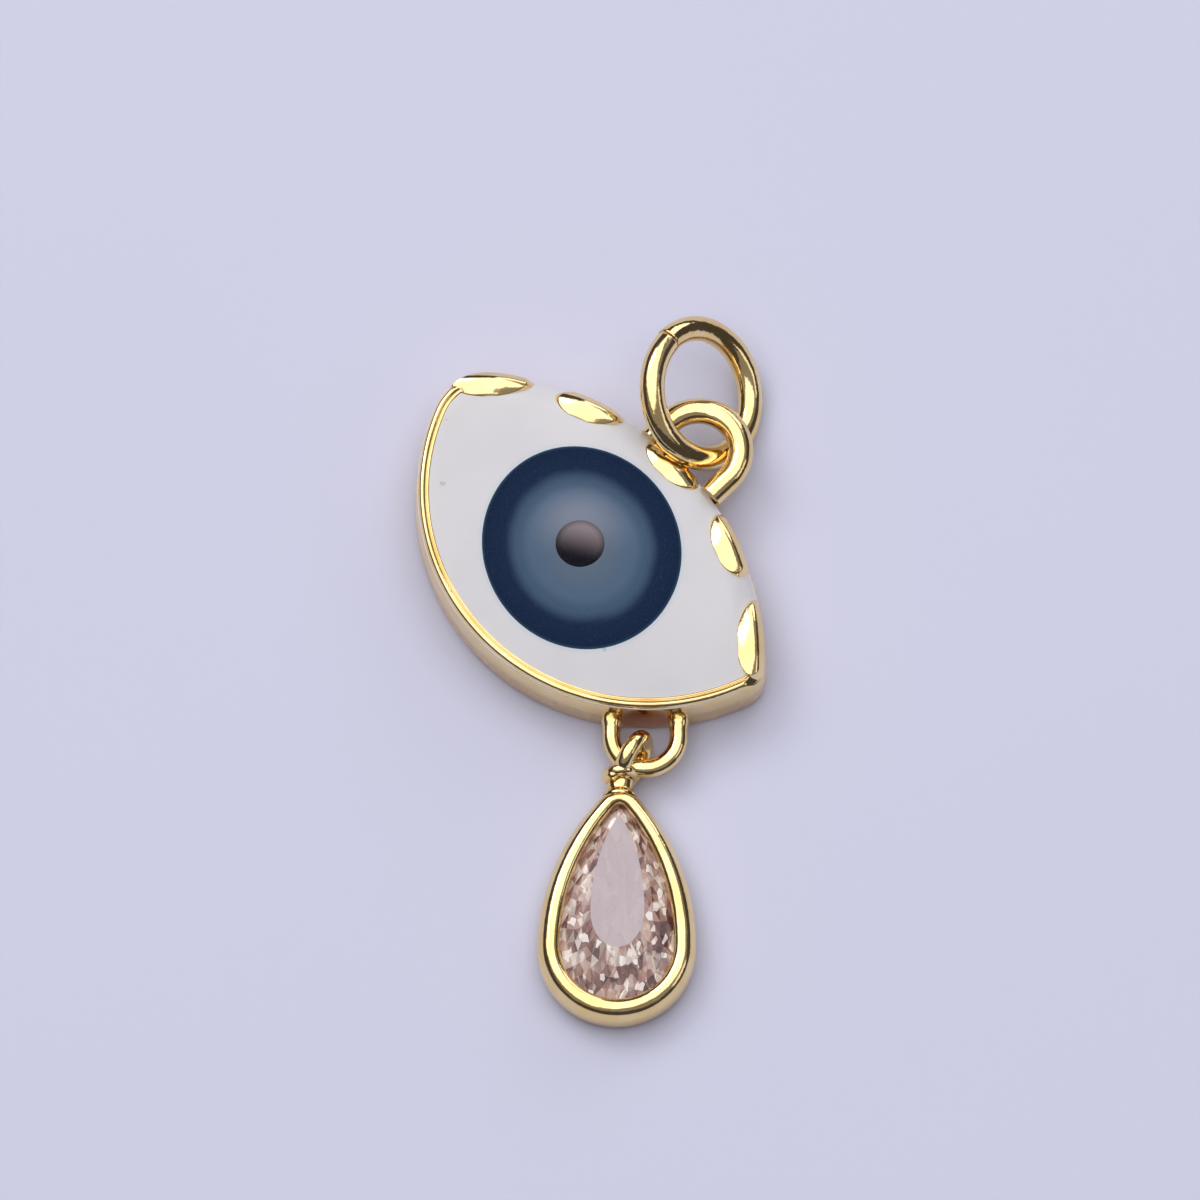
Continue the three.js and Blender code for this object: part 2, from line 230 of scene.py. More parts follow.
# ---- shader maths --------------------------------------------------------------


class Value:
    """A number socket that arithmetic can be written on."""

    def __init__(self, graph: "Graph", socket: bpy.types.NodeSocket) -> None:
        """Wraps a socket of a graph."""
        self.graph = graph
        self.socket = socket

    def _math(self, operation: str, first: Any, second: Any) -> "Value":
        """Adds a Math node.

        Args:
            operation: The Math node's operation.
            first: First input, a Value or a number.
            second: Second input, a Value or a number.

        Returns:
            The node's result.
        """
        node = self.graph.add("ShaderNodeMath", {"operation": operation}, {0: first, 1: second})
        return Value(self.graph, node.outputs[0])

    def __add__(self, other: Any) -> "Value":
        """Sum."""
        return self._math("ADD", self, other)

    def __radd__(self, other: Any) -> "Value":
        """Reflected sum."""
        return self._math("ADD", other, self)

    def __sub__(self, other: Any) -> "Value":
        """Difference."""
        return self._math("SUBTRACT", self, other)

    def __rsub__(self, other: Any) -> "Value":
        """Reflected difference."""
        return self._math("SUBTRACT", other, self)

    def __mul__(self, other: Any) -> "Value":
        """Product."""
        return self._math("MULTIPLY", self, other)

    def __rmul__(self, other: Any) -> "Value":
        """Reflected product."""
        return self._math("MULTIPLY", other, self)

    def __pow__(self, other: Any) -> "Value":
        """Power."""
        return self._math("POWER", self, other)

    def within(self, low: float, high: float) -> "Value":
        """Soft step from 0 at low to 1 at high."""
        node = self.graph.add(
            "ShaderNodeMapRange",
            {"interpolation_type": "SMOOTHSTEP"},
            {"Value": self, "From Min": low, "From Max": high},
        )
        return Value(self.graph, node.outputs[0])


class Graph:
    """Node tree of one material, with one way to add any node."""

    def __init__(self, name: str) -> None:
        """Starts a material that holds a Principled shader."""
        self.material = bpy.data.materials.new(name)
        self.material.use_nodes = True
        self.tree = self.material.node_tree
        self.tree.nodes.clear()
        self.shader = self.add("ShaderNodeBsdfPrincipled")
        self.add("ShaderNodeOutputMaterial", {}, {"Surface": self.shader.outputs[0]})

    def add(
        self,
        kind: str,
        settings: dict[str, Any] | None = None,
        sockets: dict[Any, Any] | None = None,
    ) -> bpy.types.Node:
        """Adds a node.

        Args:
            kind: The node's type.
            settings: Properties set first, such as an operation; "stops" fills a colour ramp.
            sockets: Values or links of its inputs, by name or index.

        Returns:
            The new node.
        """
        node = self.tree.nodes.new(kind)
        for key, value in (settings or {}).items():
            if key == "stops":
                self._stops(node.color_ramp, value)
            else:
                setattr(node, key, value)
        self.feed(node, sockets or {})
        return node

    def feed(self, node: bpy.types.Node, sockets: dict[Any, Any]) -> None:
        """Sets or links a node's inputs.

        Args:
            node: The node.
            sockets: Values or links by input name or index.
        """
        for key, value in sockets.items():
            if isinstance(value, Value):
                value = value.socket
            if isinstance(value, bpy.types.NodeSocket):
                self.tree.links.new(value, node.inputs[key])
            else:
                node.inputs[key].default_value = value

    @staticmethod
    def _stops(ramp: bpy.types.ColorRamp, stops: Sequence[tuple[float, Colour]]) -> None:
        """Fills a colour ramp with (place, colour) stops."""
        while len(ramp.elements) < len(stops):
            ramp.elements.new(1.0)
        for element, (place, colour) in zip(ramp.elements, stops):
            element.position = place
            element.color = (*colour, 1.0)

    def place(self, origin: Sequence[float] = (0, 0, 0), turn: float = 0.0, scale: float = 1 / MM) -> Any:
        """Object coordinates, recentred and scaled.

        Args:
            origin: Row-frame point in metres that becomes the pattern's origin.
            turn: Turn about Z in radians, applied to the pattern.
            scale: Pattern units for each metre.

        Returns:
            The vector socket.
        """
        source = self.add("ShaderNodeTexCoord").outputs["Object"]
        moved = self.add(
            "ShaderNodeVectorMath", {"operation": "SUBTRACT"}, {0: source, 1: tuple(origin)}
        ).outputs[0]
        node = self.add(
            "ShaderNodeMapping",
            {"vector_type": "POINT"},
            {"Vector": moved, "Rotation": (0.0, 0.0, turn), "Scale": (scale, scale, scale)},
        )
        return node.outputs[0]

    def noise(self, where: Any, scale: float, detail: float = 3.0, rough: float = 0.5) -> Value:
        """Noise value over a surface, about 0.5 on average."""
        node = self.add(
            "ShaderNodeTexNoise",
            {"noise_dimensions": "3D"},
            {"Vector": where, "Scale": scale, "Detail": detail, "Roughness": rough},
        )
        return Value(self, node.outputs[0])

    def ramp(self, value: Any, stops: Sequence[tuple[float, Colour]], ease: bool = True) -> Any:
        """Colour from a value by a ramp.

        Args:
            value: The value looked up.
            stops: (place, colour) pairs.
            ease: Whether the colours pass softly into one another.

        Returns:
            The colour socket.
        """
        node = self.add("ShaderNodeValToRGB", {"stops": stops}, {0: value})
        node.color_ramp.interpolation = "EASE" if ease else "LINEAR"
        return node.outputs[0]

    def blend(self, factor: Any, a: Any, b: Any, mode: str = "MIX") -> Any:
        """Mixes two colours.

        Args:
            factor: Share of b.
            a: First colour, a socket or three numbers.
            b: Second colour, a socket or three numbers.
            mode: The Mix node's blend type.

        Returns:
            The colour socket.
        """
        node = self.add("ShaderNodeMix", {"data_type": "RGBA", "blend_type": mode})
        wide = [c if isinstance(c, bpy.types.NodeSocket) else (*c, 1.0) for c in (a, b)]
        self.feed(node, {0: factor, 6: wide[0], 7: wide[1]})
        return node.outputs[2]

    def bump(self, height: Value, strength: float, distance: float) -> Any:
        """Normal from a height pattern, its distance in metres."""
        node = self.add(
            "ShaderNodeBump", {}, {"Height": height, "Strength": strength, "Distance": distance}
        )
        return node.outputs[0]

    def dress(self, **sockets: Any) -> bpy.types.Material:
        """Feeds the Principled shader, underscores standing for spaces, and hands over the material."""
        self.feed(self.shader, {k.replace("_", " "): v for k, v in sockets.items()})
        return self.material


# ---- finishes ------------------------------------------------------------------


@dataclass(frozen=True)
class PolishedGold:
    """Bright pale gold plating, with faint polishing haze and small dents, and optional painted shade:
    mottled darker, warmer gold low on the walls, and dark orange gold round given spots between parts.
    """

    name: str
    pale: Colour = (0.95, 0.745, 0.40)
    deep: Colour = (0.89, 0.655, 0.285)
    gloss: float = 0.11
    haze: float = 0.08
    ripple: float = 0.2
    # Painted shade: the walls' lower part is blended, mottled, towards this darker, warmer gold; its share
    # and top height follow.
    cast: Colour = (0.70, 0.45, 0.24)
    low_shade_share: float = 0.0
    low_shade_top: float = 1.35
    # Painted shade and painted reflection: spots (x, y, z, size) in millimetres round which the gold turns
    # dark orange.
    shade_nooks: tuple[tuple[float, float, float, float], ...] = ()

    def make(self) -> bpy.types.Material:
        """Builds the material."""
        g = Graph(self.name)
        where = g.place()
        cloud = g.noise(where, 0.9, 2.0)
        grain = g.noise(where, 14.0, 4.0)
        colour = g.blend(cloud.within(0.3, 0.75), self.pale, self.deep)
        roughness = self.gloss + self.haze * grain.within(0.45, 0.8) * cloud
        if self.low_shade_share:
            # Painted shade: darker, warmer gold below a height on the walls, mottled; the same mask also
            # roughens it.
            low = 1 - split(g, where, 2).within(self.low_shade_top - 0.35, self.low_shade_top)
            mottle = g.noise(where, 3.5, 4.0, 0.65).within(0.35, 0.68)
            low_shade_mask = low * (0.45 + 0.55 * mottle)
            colour = g.blend(low_shade_mask * self.low_shade_share, colour, self.cast)
            roughness = roughness + low_shade_mask * 0.16
        # Painted shade and painted reflection: the gold turns dark orange round each spot, such as between
        # the hanger's feet and under the bail's foot.
        for x, y, z, size in self.shade_nooks:
            gap = g.add(
                "ShaderNodeVectorMath", {"operation": "DISTANCE"}, {0: where, 1: (x, y, z)}
            ).outputs["Value"]
            near = 1 - Value(g, gap).within(0.55 * size, size)
            colour = g.blend(near, colour, (0.50, 0.19, 0.045))
        dents = g.noise(where, 2.3, 2.0) + 0.12 * g.noise(where, 22.0, 2.0)
        return g.dress(
            Base_Color=colour,
            Metallic=1.0,
            Roughness=roughness,
            Normal=g.bump(dents, self.ripple, 0.00006),
        )


@dataclass(frozen=True)
class WhiteEnamel:
    """Glossy white enamel, faintly cool, with a blue halo round the iris and tiny specks."""

    name: str
    iris_at: tuple[float, float, float]
    iris_semi: Point
    eye_turn: float
    white: Colour = (0.722, 0.712, 0.742)
    shade: Colour = (0.695, 0.683, 0.715)
    halo: Colour = (0.52, 0.63, 0.71)

    def make(self) -> bpy.types.Material:
        """Builds the material."""
        g = Graph(self.name)
        where = g.place()
        cloud = g.noise(where, 0.35, 2.0)
        reach = radial(g, self.iris_at, self.eye_turn, self.iris_semi)
        rim = 1 - reach.within(1.0, 1.055)
        colour = g.blend(cloud.within(0.35, 0.7), self.white, self.shade)
        colour = g.blend(rim * 0.45, colour, self.halo)
        specks = g.noise(where, 3.1, 0.0).within(0.855, 0.87)
        colour = g.blend(specks * 0.4, colour, (0.35, 0.33, 0.34))
        peel = g.noise(where, 1.6, 2.0)
        return g.dress(
            Base_Color=colour,
            Roughness=0.25 + 0.08 * g.noise(where, 6.0, 3.0),
            Specular_IOR_Level=0.25,
            Normal=g.bump(peel, 0.12, 0.00005),
        )


@dataclass(frozen=True)
class IrisEnamel:
    """Blue enamel that passes from a pale middle to a navy edge, with a painted reflection lightening its
    upper middle.
    """

    name: str
    at: tuple[float, float, float]
    semi: Point
    eye_turn: float
    stops: tuple[tuple[float, Colour], ...] = (
        (0.0, (0.165, 0.200, 0.270)),
        (0.30, (0.110, 0.155, 0.220)),
        (0.50, (0.088, 0.143, 0.225)),
        (0.64, (0.060, 0.105, 0.172)),
        (0.79, (0.010, 0.024, 0.064)),
        (1.0, (0.008, 0.020, 0.055)),
    )

    def make(self) -> bpy.types.Material:
        """Builds the material."""
        g = Graph(self.name)
        where = g.place(self.at)
        reach = radial(g, self.at, self.eye_turn, self.semi)
        grain = g.noise(where, 9.0, 4.0)
        cloud = g.noise(where, 0.7, 2.0)
        colour = g.ramp(reach + 0.05 * (cloud - 0.5) + 0.012 * (grain - 0.5), self.stops)
        # Painted reflection: the upper middle of the iris is lightened towards pale grey-blue, over the
        # printed pale middle.
        up = split(g, where, 1)
        pale = (up.within(-0.5, 2.2)) * (1 - reach.within(0.15, 0.68))
        colour = g.blend(pale * 0.9, colour, (0.36, 0.38, 0.47))
        edge = reach.within(0.965, 0.995)
        colour = g.blend(edge * 0.2, colour, (0.10, 0.22, 0.36))
        dust = g.noise(where, 24.0, 2.0).within(0.55, 0.8)
        colour = g.blend(dust * 0.06, colour, (0.5, 0.52, 0.6))
        return g.dress(
            Base_Color=colour,
            Roughness=0.22 + 0.1 * grain,
            Specular_IOR_Level=0.025,
            Normal=g.bump(cloud, 0.1, 0.00004),
        )


@dataclass(frozen=True)
class PupilEnamel:
    """Charcoal enamel with a painted reflection: softly lighter and warmer towards its top."""

    name: str
    at: tuple[float, float, float]
    radius: float

    def make(self) -> bpy.types.Material:
        """Builds the material."""
        g = Graph(self.name)
        where = g.place(self.at)
        reach = radial(g, self.at, 0.0, (self.radius, self.radius))
        up = split(g, where, 1)
        across = split(g, where, 0)
        # Painted reflection of the lamps: lighter and warmer towards the top, weaker near the rim.
        painted_reflection = (up + 0.25 * across).within(-0.55, 1.0) * (1 - 0.6 * reach.within(0.7, 1.05))
        grain = g.noise(where, 18.0, 3.0)
        colour = g.blend(painted_reflection, (0.008, 0.007, 0.012), (0.33, 0.28, 0.30))
        colour = g.blend(grain.within(0.5, 0.8) * 0.12, colour, (0.2, 0.18, 0.19))
        return g.dress(
            Base_Color=colour,
            Roughness=0.3 + 0.1 * grain,
            Specular_IOR_Level=0.03,
            Normal=g.bump(grain, 0.08, 0.00003),
        )


@dataclass(frozen=True)
class PinkStone:
    """Champagne pink cut stone, opaque: each facet's tint with painted shade, broken up by painted
    reflections of the facets behind it and by painted glints.
    """

    name: str
    at: tuple[float, float, float]
    turn: float

    def make(self) -> bpy.types.Material:
        """Builds the material."""
        g = Graph(self.name)
        where = g.place(self.at, self.turn)
        # Each facet's own tint with its painted shade and painted reflection, set per facet on the mesh.
        tint_and_shade = g.add("ShaderNodeAttribute", {"attribute_name": "facet_tint_and_shade"}).outputs["Color"]
        # How strongly each facet shows the painted reflections and glints.
        busy = Value(g, g.add("ShaderNodeAttribute", {"attribute_name": "facet_busy"}).outputs["Fac"])
        stretched = g.add(
            "ShaderNodeMapping", {"vector_type": "POINT"}, {"Vector": where, "Scale": (1.6, 0.9, 1.0)}
        ).outputs[0]
        cells = g.add(
            "ShaderNodeTexVoronoi", {"feature": "F1", "distance": "MANHATTAN"},
            {"Vector": stretched, "Scale": 1.9, "Randomness": 1.0},
        )
        fine = g.add(
            "ShaderNodeTexVoronoi", {"feature": "F1", "distance": "EUCLIDEAN"},
            {"Vector": stretched, "Scale": 4.2, "Randomness": 1.0},
        )
        pick = split(g, cells.outputs["Color"], 0)
        small = split(g, fine.outputs["Color"], 1)
        # Painted reflections: dark to pale chips that stand for the facets seen behind each facet.
        painted_facet_reflections = g.ramp(
            pick * 0.6 + small * 0.4,
            (
                (0.15, (0.07, 0.025, 0.025)),
                (0.34, (0.22, 0.10, 0.085)),
                (0.50, (0.42, 0.24, 0.21)),
                (0.66, (0.55, 0.38, 0.34)),
                (0.84, (0.85, 0.74, 0.68)),
            ),
            ease=False,
        )
        colour = g.blend(busy, tint_and_shade, painted_facet_reflections)
        # Painted glints: near-white sparks on the busier facets.
        painted_glint = small.within(0.86, 0.92) * busy.within(0.15, 0.5) * 0.85
        colour = g.blend(painted_glint, colour, (1.0, 0.94, 0.90))
        tilt = g.bump(pick * busy + small * 0.5 * busy, 0.9, 0.00022)
        return g.dress(
            Base_Color=colour,
            Roughness=0.06 + 0.08 * small,
            Specular_IOR_Level=0.6,
            Normal=tilt,
        )


@dataclass(frozen=True)
class PaleFloor:
    """Smooth lavender card the charm lies on."""

    name: str
    tone: Colour = (0.680, 0.690, 0.862)

    def make(self) -> bpy.types.Material:
        """Builds the material."""
        g = Graph(self.name)
        where = g.place()
        grain = g.noise(where, 9.0, 4.0)
        drift = g.noise(where, 0.05, 2.0)
        colour = g.blend(drift * 0.25, self.tone, tuple(c * 0.93 for c in self.tone))
        colour = g.blend(grain.within(0.6, 0.9) * 0.12, colour, tuple(c * 0.86 for c in self.tone))
        return g.dress(Base_Color=colour, Roughness=0.85, Specular_IOR_Level=0.15)


def split(g: Graph, vector: Any, axis: int) -> Value:
    """One component of a vector or colour socket."""
    return Value(g, g.add("ShaderNodeSeparateXYZ", {}, {0: vector}).outputs[axis])


def radial(g: Graph, at: Sequence[float], turn_deg: float, semi: Point) -> Value:
    """Distance from a point as a share of an ellipse's edge.

    Args:
        g: The material's graph.
        at: Row-frame middle of the ellipse, in metres.
        turn_deg: Turn of the ellipse about Z.
        semi: Its half axes in millimetres.

    Returns:
        0 in the middle and 1 on the edge.
    """
    where = g.place(at, -math.radians(turn_deg))
    x = split(g, where, 0) * (1 / semi[0])
    y = split(g, where, 1) * (1 / semi[1])
    return (x**2 + y**2) ** 0.5


# ---- the eye -------------------------------------------------------------------


@dataclass(frozen=True)
class EyeShape:
    """Almond outline and heights of the eye, x from its blunt corner to its sharp one, in millimetres."""

    corner_spacing: float = 11.62
    blunt_radius: float = 2.03
    sharp_radius: float = 0.9
    upper_lid_radius: float = 10.03
    lower_lid_radius: float = 7.68
    turn_deg: float = -45.0
    iris: Point = (-0.67, -0.83)
    iris_semi: Point = (3.6, 3.29)
    iris_turn: float = -23.0
    pupil: Point = (-0.77, -0.81)
    pupil_radius: float = 0.82
    enamel_edge: float = 1.98
    dome_rise: float = 0.46
    slope_edge: float = 1.6
    slope_rate: float = 0.5 / 0.6

    def lid_centre(self, radius: float, side: float) -> Point:
        """Middle of a lid's circle, which touches both corner circles from outside.

        Args:
            radius: The lid's radius.
            side: 1 for the upper lid and -1 for the lower.

        Returns:
            The middle in the eye's own frame.
        """
        half = self.corner_spacing / 2
        blunt, sharp = radius - self.blunt_radius, radius - self.sharp_radius
        x = (blunt**2 - sharp**2) / (4 * half)
        return x, -side * math.sqrt(blunt**2 - (x + half) ** 2)

    @cached_property
    def upper(self) -> Point:
        """Middle of the upper lid's circle."""
        return self.lid_centre(self.upper_lid_radius, 1)

    @cached_property
    def lower(self) -> Point:
        """Middle of the lower lid's circle."""
        return self.lid_centre(self.lower_lid_radius, -1)

    def outline(self, inset: float, density: int) -> list[Point]:
        """The outline moved inwards, anticlockwise, as four arcs.

        Args:
            inset: Distance inwards.
            density: Points on each lid for each 1 of 10.

        Returns:
            The closed outline's points.
        """
        half = self.corner_spacing / 2
        up, low = self.upper, self.lower

        def to(c: Point, x: float) -> float:
            """Angle from a lid's middle to the corner at x."""
            return math.atan2(-c[1], x - c[0])

        ends = to(up, half), to(up, -half), to(low, -half) + 2 * math.pi, to(low, half)
        return [
            *arc(up, self.upper_lid_radius - inset, ends[0], ends[1], 11 * density),
            *arc((-half, 0), self.blunt_radius - inset, ends[1], ends[2], 4 * density),
            *arc(low, self.lower_lid_radius - inset, ends[2], ends[3] + 2 * math.pi, 11 * density),
            *arc((half, 0), self.sharp_radius - inset, ends[3], ends[0], 3 * density),
        ]

    @cache
    def centre(self) -> Point:
        """Where the eye's own origin lies in the row frame, from the pupil's place."""
        at = box_middle("pupil_enamel")
        x, y = turned(self.pupil, self.turn_deg)
        return at.x - x, at.y - y

    def placed(self, ring: Iterable[Point], height: Callable[[Point], float]) -> Ring:
        """Lifts points of the eye's frame into the row frame.

        Args:
            ring: Points in the eye's frame.
            height: Height for each of them.

        Returns:
            Row-frame points.
        """
        cx, cy = self.centre()
        out: Ring = []
        for p in ring:
            x, y = turned(p, self.turn_deg)
            out.append((cx + x, cy + y, height(p)))
        return out

    def lid_depth(self, p: Point) -> float:
        """Distance of p inwards from the upper lid's edge."""
        return self.upper_lid_radius - math.dist(p, self.upper)

    def slope(self, p: Point) -> float:
        """Height of the upper lid's outward slope at p."""
        return self.slope_edge + self.slope_rate * self.lid_depth(p)

    def dome(self, p: Point) -> float:
        """Height of the enamel's dome at p, level on curves like the outline."""
        mid = self.dome_middle
        away = math.dist(p, mid)
        if away < 1e-9:
            return self.enamel_edge + self.dome_rise
        share = min(1.0, away / self.edge_distance(math.atan2(p[1] - mid[1], p[0] - mid[0])))
        return self.enamel_edge + self.dome_rise * (1 - share**2.2)

    def skin(self, p: Point) -> float:
        """Height of the enamel's even surface, domed and rolled over the upper lid."""
        height = soft_min(self.dome(p), self.slope(p) - 0.035, 0.22)
        return height - 0.05 * smooth_step(0.24, 0.02, self.lid_depth(p))

    @cached_property
    def dome_middle(self) -> Point:
        """Top of the dome."""
        return self.iris[0], self.iris[1] * 0.4

    def edge_distance(self, angle: float) -> float:
        """Distance from the dome's top to the outline, in a direction."""
        table = self._edges()
        place = (angle % (2 * math.pi)) / (2 * math.pi) * len(table)
        i = int(place) % len(table)
        return mix(table[i], table[(i + 1) % len(table)], place - int(place))

    @cache
    def _edges(self) -> list[float]:
        """Distances from the dome's top to the outline, at even angles."""
        mid = self.dome_middle
        polar = sorted(
            (math.atan2(p[1] - mid[1], p[0] - mid[0]) % (2 * math.pi), math.dist(p, mid))
            for p in self.outline(0, 40)
        )
        angles = [a for a, _ in polar]
        found: list[float] = []
        k = 0
        for i in range(1440):
            a = 2 * math.pi * i / 1440
            while k < len(polar) and angles[k] < a:
                k += 1
            (a0, r0), (a1, r1) = polar[k - 1], polar[k % len(polar)]
            span = (a1 - a0) % (2 * math.pi) or 1.0
            found.append(mix(r0, r1, ((a - a0) % (2 * math.pi)) / span))
        return found



@dataclass
class EyeTray:
    """Gold tray: side wall, rolled rim bead with a crease, sloped upper lid and five lashes."""

    shape: EyeShape
    gold: bpy.types.Material
    density: int = 34
    wall: tuple[Point, ...] = (
        (0.12, 0.0), (0.0, 0.05), (-0.05, 0.2), (-0.08, 0.7), (-0.06, 1.4), (-0.02, 1.75), (0.0, 1.86),
    )
    bead: tuple[Point, ...] = (
        (0.0, 1.86), (0.035, 1.985), (0.10, 2.09), (0.18, 2.125), (0.25, 2.10), (0.295, 2.055),
        (0.315, 2.045), (0.345, 2.075), (0.395, 2.06), (0.44, 1.99), (0.47, 1.90), (0.5, 1.80),
    )
    lash_count: int = 5
    lash_pitch: float = 20.3
    lash_middle: float = 89.2
    lash_half: Point = (1.05, 0.54)
    lash_inset: float = 0.36
    lash_turn: float = 7.0
    lash_crown: float = 0.20
    lash_proud: float = 0.02
    lash_lift: float = 0.33
    outer_lash_stretch: float = 1.2
    ring_lash_share: float = 0.6
    lid_reach: float = 1.6
    bay_level: float = 1.72
    bay_sink: float = 0.13
    bay_lip: float = 0.25
    knee: float = 1.0
    depth: float = 0.86

    def build(self) -> bpy.types.Object:
        """Builds the tray.

        Returns:
            The dressed object.
        """
        shell = Shell("gold_tray")
        rings: list[Ring] = []
        for inset, z in flowing(self.wall, 5):
            ring = self.shape.outline(inset, self.density)
            rings.append(self.shape.placed(ring, lambda p, z=z: self.wall_height(p, z)))
        steps = [(v, z) for v, z in flowing(self.bead, 4)][1:]
        inner = 26
        steps += [(mix(0.5, self.depth, (i + 1) / inner), 1.7) for i in range(inner)]
        for inset, z in steps:
            ring = self.shape.outline(inset, self.density)
            rings.append(self.shape.placed(ring, lambda p, v=inset, z=z: self.top_height(p, v, z)))
        rings.append(self.shape.placed(self.shape.outline(self.depth + 0.01, self.density), lambda p: 1.45))
        shell.stack(rings)
        nodes = ["eye_tray"]
        return settle(shell.build(60), Body.EYE, nodes, self.gold)

    def bay(self, p: Point) -> float:
        """1 along the stretch of upper lid where enamel runs out between the lashes, 0 elsewhere."""
        up = self.shape.upper
        if self.shape.lid_depth(p) > self.lid_reach:
            return 0.0
        angle = math.degrees(math.atan2(p[1] - up[1], p[0] - up[0]))
        spread = (self.lash_count - 1) / 2 * self.lash_pitch
        return 1 - smooth_step(spread - 1.5, spread + 1.5, abs(angle - self.lash_middle))

    def wall_height(self, p: Point, z: float) -> float:
        """Height of the side wall's ring at p, lowered under the upper lid's slope."""
        rim = self.wall[-1][1]
        top = min(rim, self.shape.slope(p) - mix(0.01, self.bay_sink, self.bay(p)))
        if z <= self.knee:
            return z
        return mix(self.knee, top, (z - self.knee) / (rim - self.knee))

    def top_height(self, p: Point, inset: float, bead: float) -> float:
        """Height of the gold's upper surface.

        Args:
            p: Point in the eye's frame.
            inset: Its distance from the outline.
            bead: The rim bead's height there.

        Returns:
            The height.
        """
        slope = self.shape.slope(p)
        rim = soft_min(bead, slope + 0.02 * smooth_step(0, 0.1, inset), 0.08)
        low = min(slope - self.bay_sink, self.bay_level) - self.bay_lip * smooth_step(0.0, 0.1, inset)
        ground = mix(rim, low, self.bay(p))
        return soft_max(ground, self.lash_height(p), 0.015)

    def lash_height(self, p: Point) -> float:
        """Height of the nearest lash at p, far below away from them."""
        best = -9.0
        if self.shape.lid_depth(p) > self.lid_reach:
            return best
        level = self.shape.skin(p) + self.lash_proud
        lift = self.lash_lift * smooth_step(0.80, 0.0, self.shape.lid_depth(p))
        up = self.shape.upper
        for i in range(self.lash_count):
            step = i - (self.lash_count - 1) / 2
            angle = self.lash_middle + step * self.lash_pitch
            sign = (step > 0) - (step < 0)
            r = self.shape.upper_lid_radius - self.lash_inset
            a = math.radians(angle)
            local = (p[0] - up[0] - r * math.cos(a), p[1] - up[1] - r * math.sin(a))
            along, across = turned(local, -(angle + 90 + sign * self.lash_turn))
            half = self.lash_half[0] * (self.outer_lash_stretch if abs(step) == 2 else 1.0)
            share = (along / half) ** 2 + (across / self.lash_half[1]) ** 2
            base = level + lift * (1.0 if step else self.ring_lash_share)
            if share < 1:
                high = base + self.lash_crown * (1 - share)
            else:
                high = base - 3.4 * (math.sqrt(share) - 1) * self.lash_half[1]
            best = max(best, high)
        return best


@dataclass
class EyeEnamels:
    """White, blue and dark enamel fillings of the tray."""

    shape: EyeShape
    white: bpy.types.Material
    blue: bpy.types.Material
    dark: bpy.types.Material
    bottom: float = 1.46
    density: int = 24
    rings_across: int = 84
    waver: float = 0.012

    def build(self) -> list[bpy.types.Object]:
        """Builds the three fillings.

        Returns:
            The dressed objects.
        """
        s = self.shape
        semi = s.iris_semi
        return [
            self._white(),
            settle(
                self._disc("blue_iris", s.iris, semi, 0.012, 0.20, 90).build(),
                Body.EYE, ["iris_enamel"], self.blue,
            ),
            settle(
                self._disc("dark_pupil", s.pupil, (s.pupil_radius,) * 2, 0.028, 0.10, 40).build(),
                Body.EYE, ["pupil_enamel"], self.dark,
            ),
        ]

    def surface(self, p: Point) -> float:
        """Height of the enamel's surface, with the slight unevenness of a hand filling."""
        drift = noise.noise(Vector((p[0] * 1.3, p[1] * 1.3, 3.0)))
        return self.shape.skin(p) + self.waver * drift

    def _white(self) -> bpy.types.Object:
        """The white filling."""
        mid = self.shape.dome_middle
        edge = self.shape.outline(0.012, self.density)

        def scaled(t: float) -> list[Point]:
            """The edge drawn in towards the dome's top."""
            return [(mix(mid[0], x, t), mix(mid[1], y, t)) for x, y in edge]

        rings = [self.shape.placed(scaled(0.998), lambda p: self.bottom)]
        for k in range(self.rings_across):
            t = math.cos(k / self.rings_across * math.pi / 2) ** 0.72
            rings.append(self.shape.placed(scaled(t), self.surface))
        shell = Shell("white_filling")
        shell.stack(rings)
        return settle(shell.build(), Body.EYE, ["white_enamel"], self.white)

    def _disc(self, name: str, centre: Point, semi: Point, proud: float, depth: float, count: int) -> Shell:
        """A domed disc set in the enamel, with a softly rounded edge.

        Args:
            name: The piece's name.
            centre: Its middle in the eye's frame.
            semi: Its half axes.
            proud: How far it stands above the white.
            depth: How deep its side goes.
            count: Rings from edge to middle.

        Returns:
            The gathered shell.
        """
        around = 200

        def ring(share: float) -> list[Point]:
            """Ellipse at a share of the disc's size."""
            points: list[Point] = []
            for i in range(around):
                a = 2 * math.pi * i / around
                level = (semi[0] * share * math.cos(a), semi[1] * share * math.sin(a))
                x, y = turned(level, self.shape.iris_turn)
                points.append((centre[0] + x, centre[1] + y))
            return points

        shell = Shell(name)
        rings = [self.shape.placed(ring(1.0), lambda p: self.surface(p) - depth)]
        for k in range(count):
            share = 1 - (k / count) ** 1.15
            away = 1 - share
            fade = proud * smooth_step(-0.01, 0.02, away) - 0.008 * smooth_step(0.004, 0.0, away)
            rings.append(self.shape.placed(ring(share), lambda p, f=fade: self.surface(p) + f))
        shell.stack(rings)
        return shell


# ---- wires ---------------------------------------------------------------------


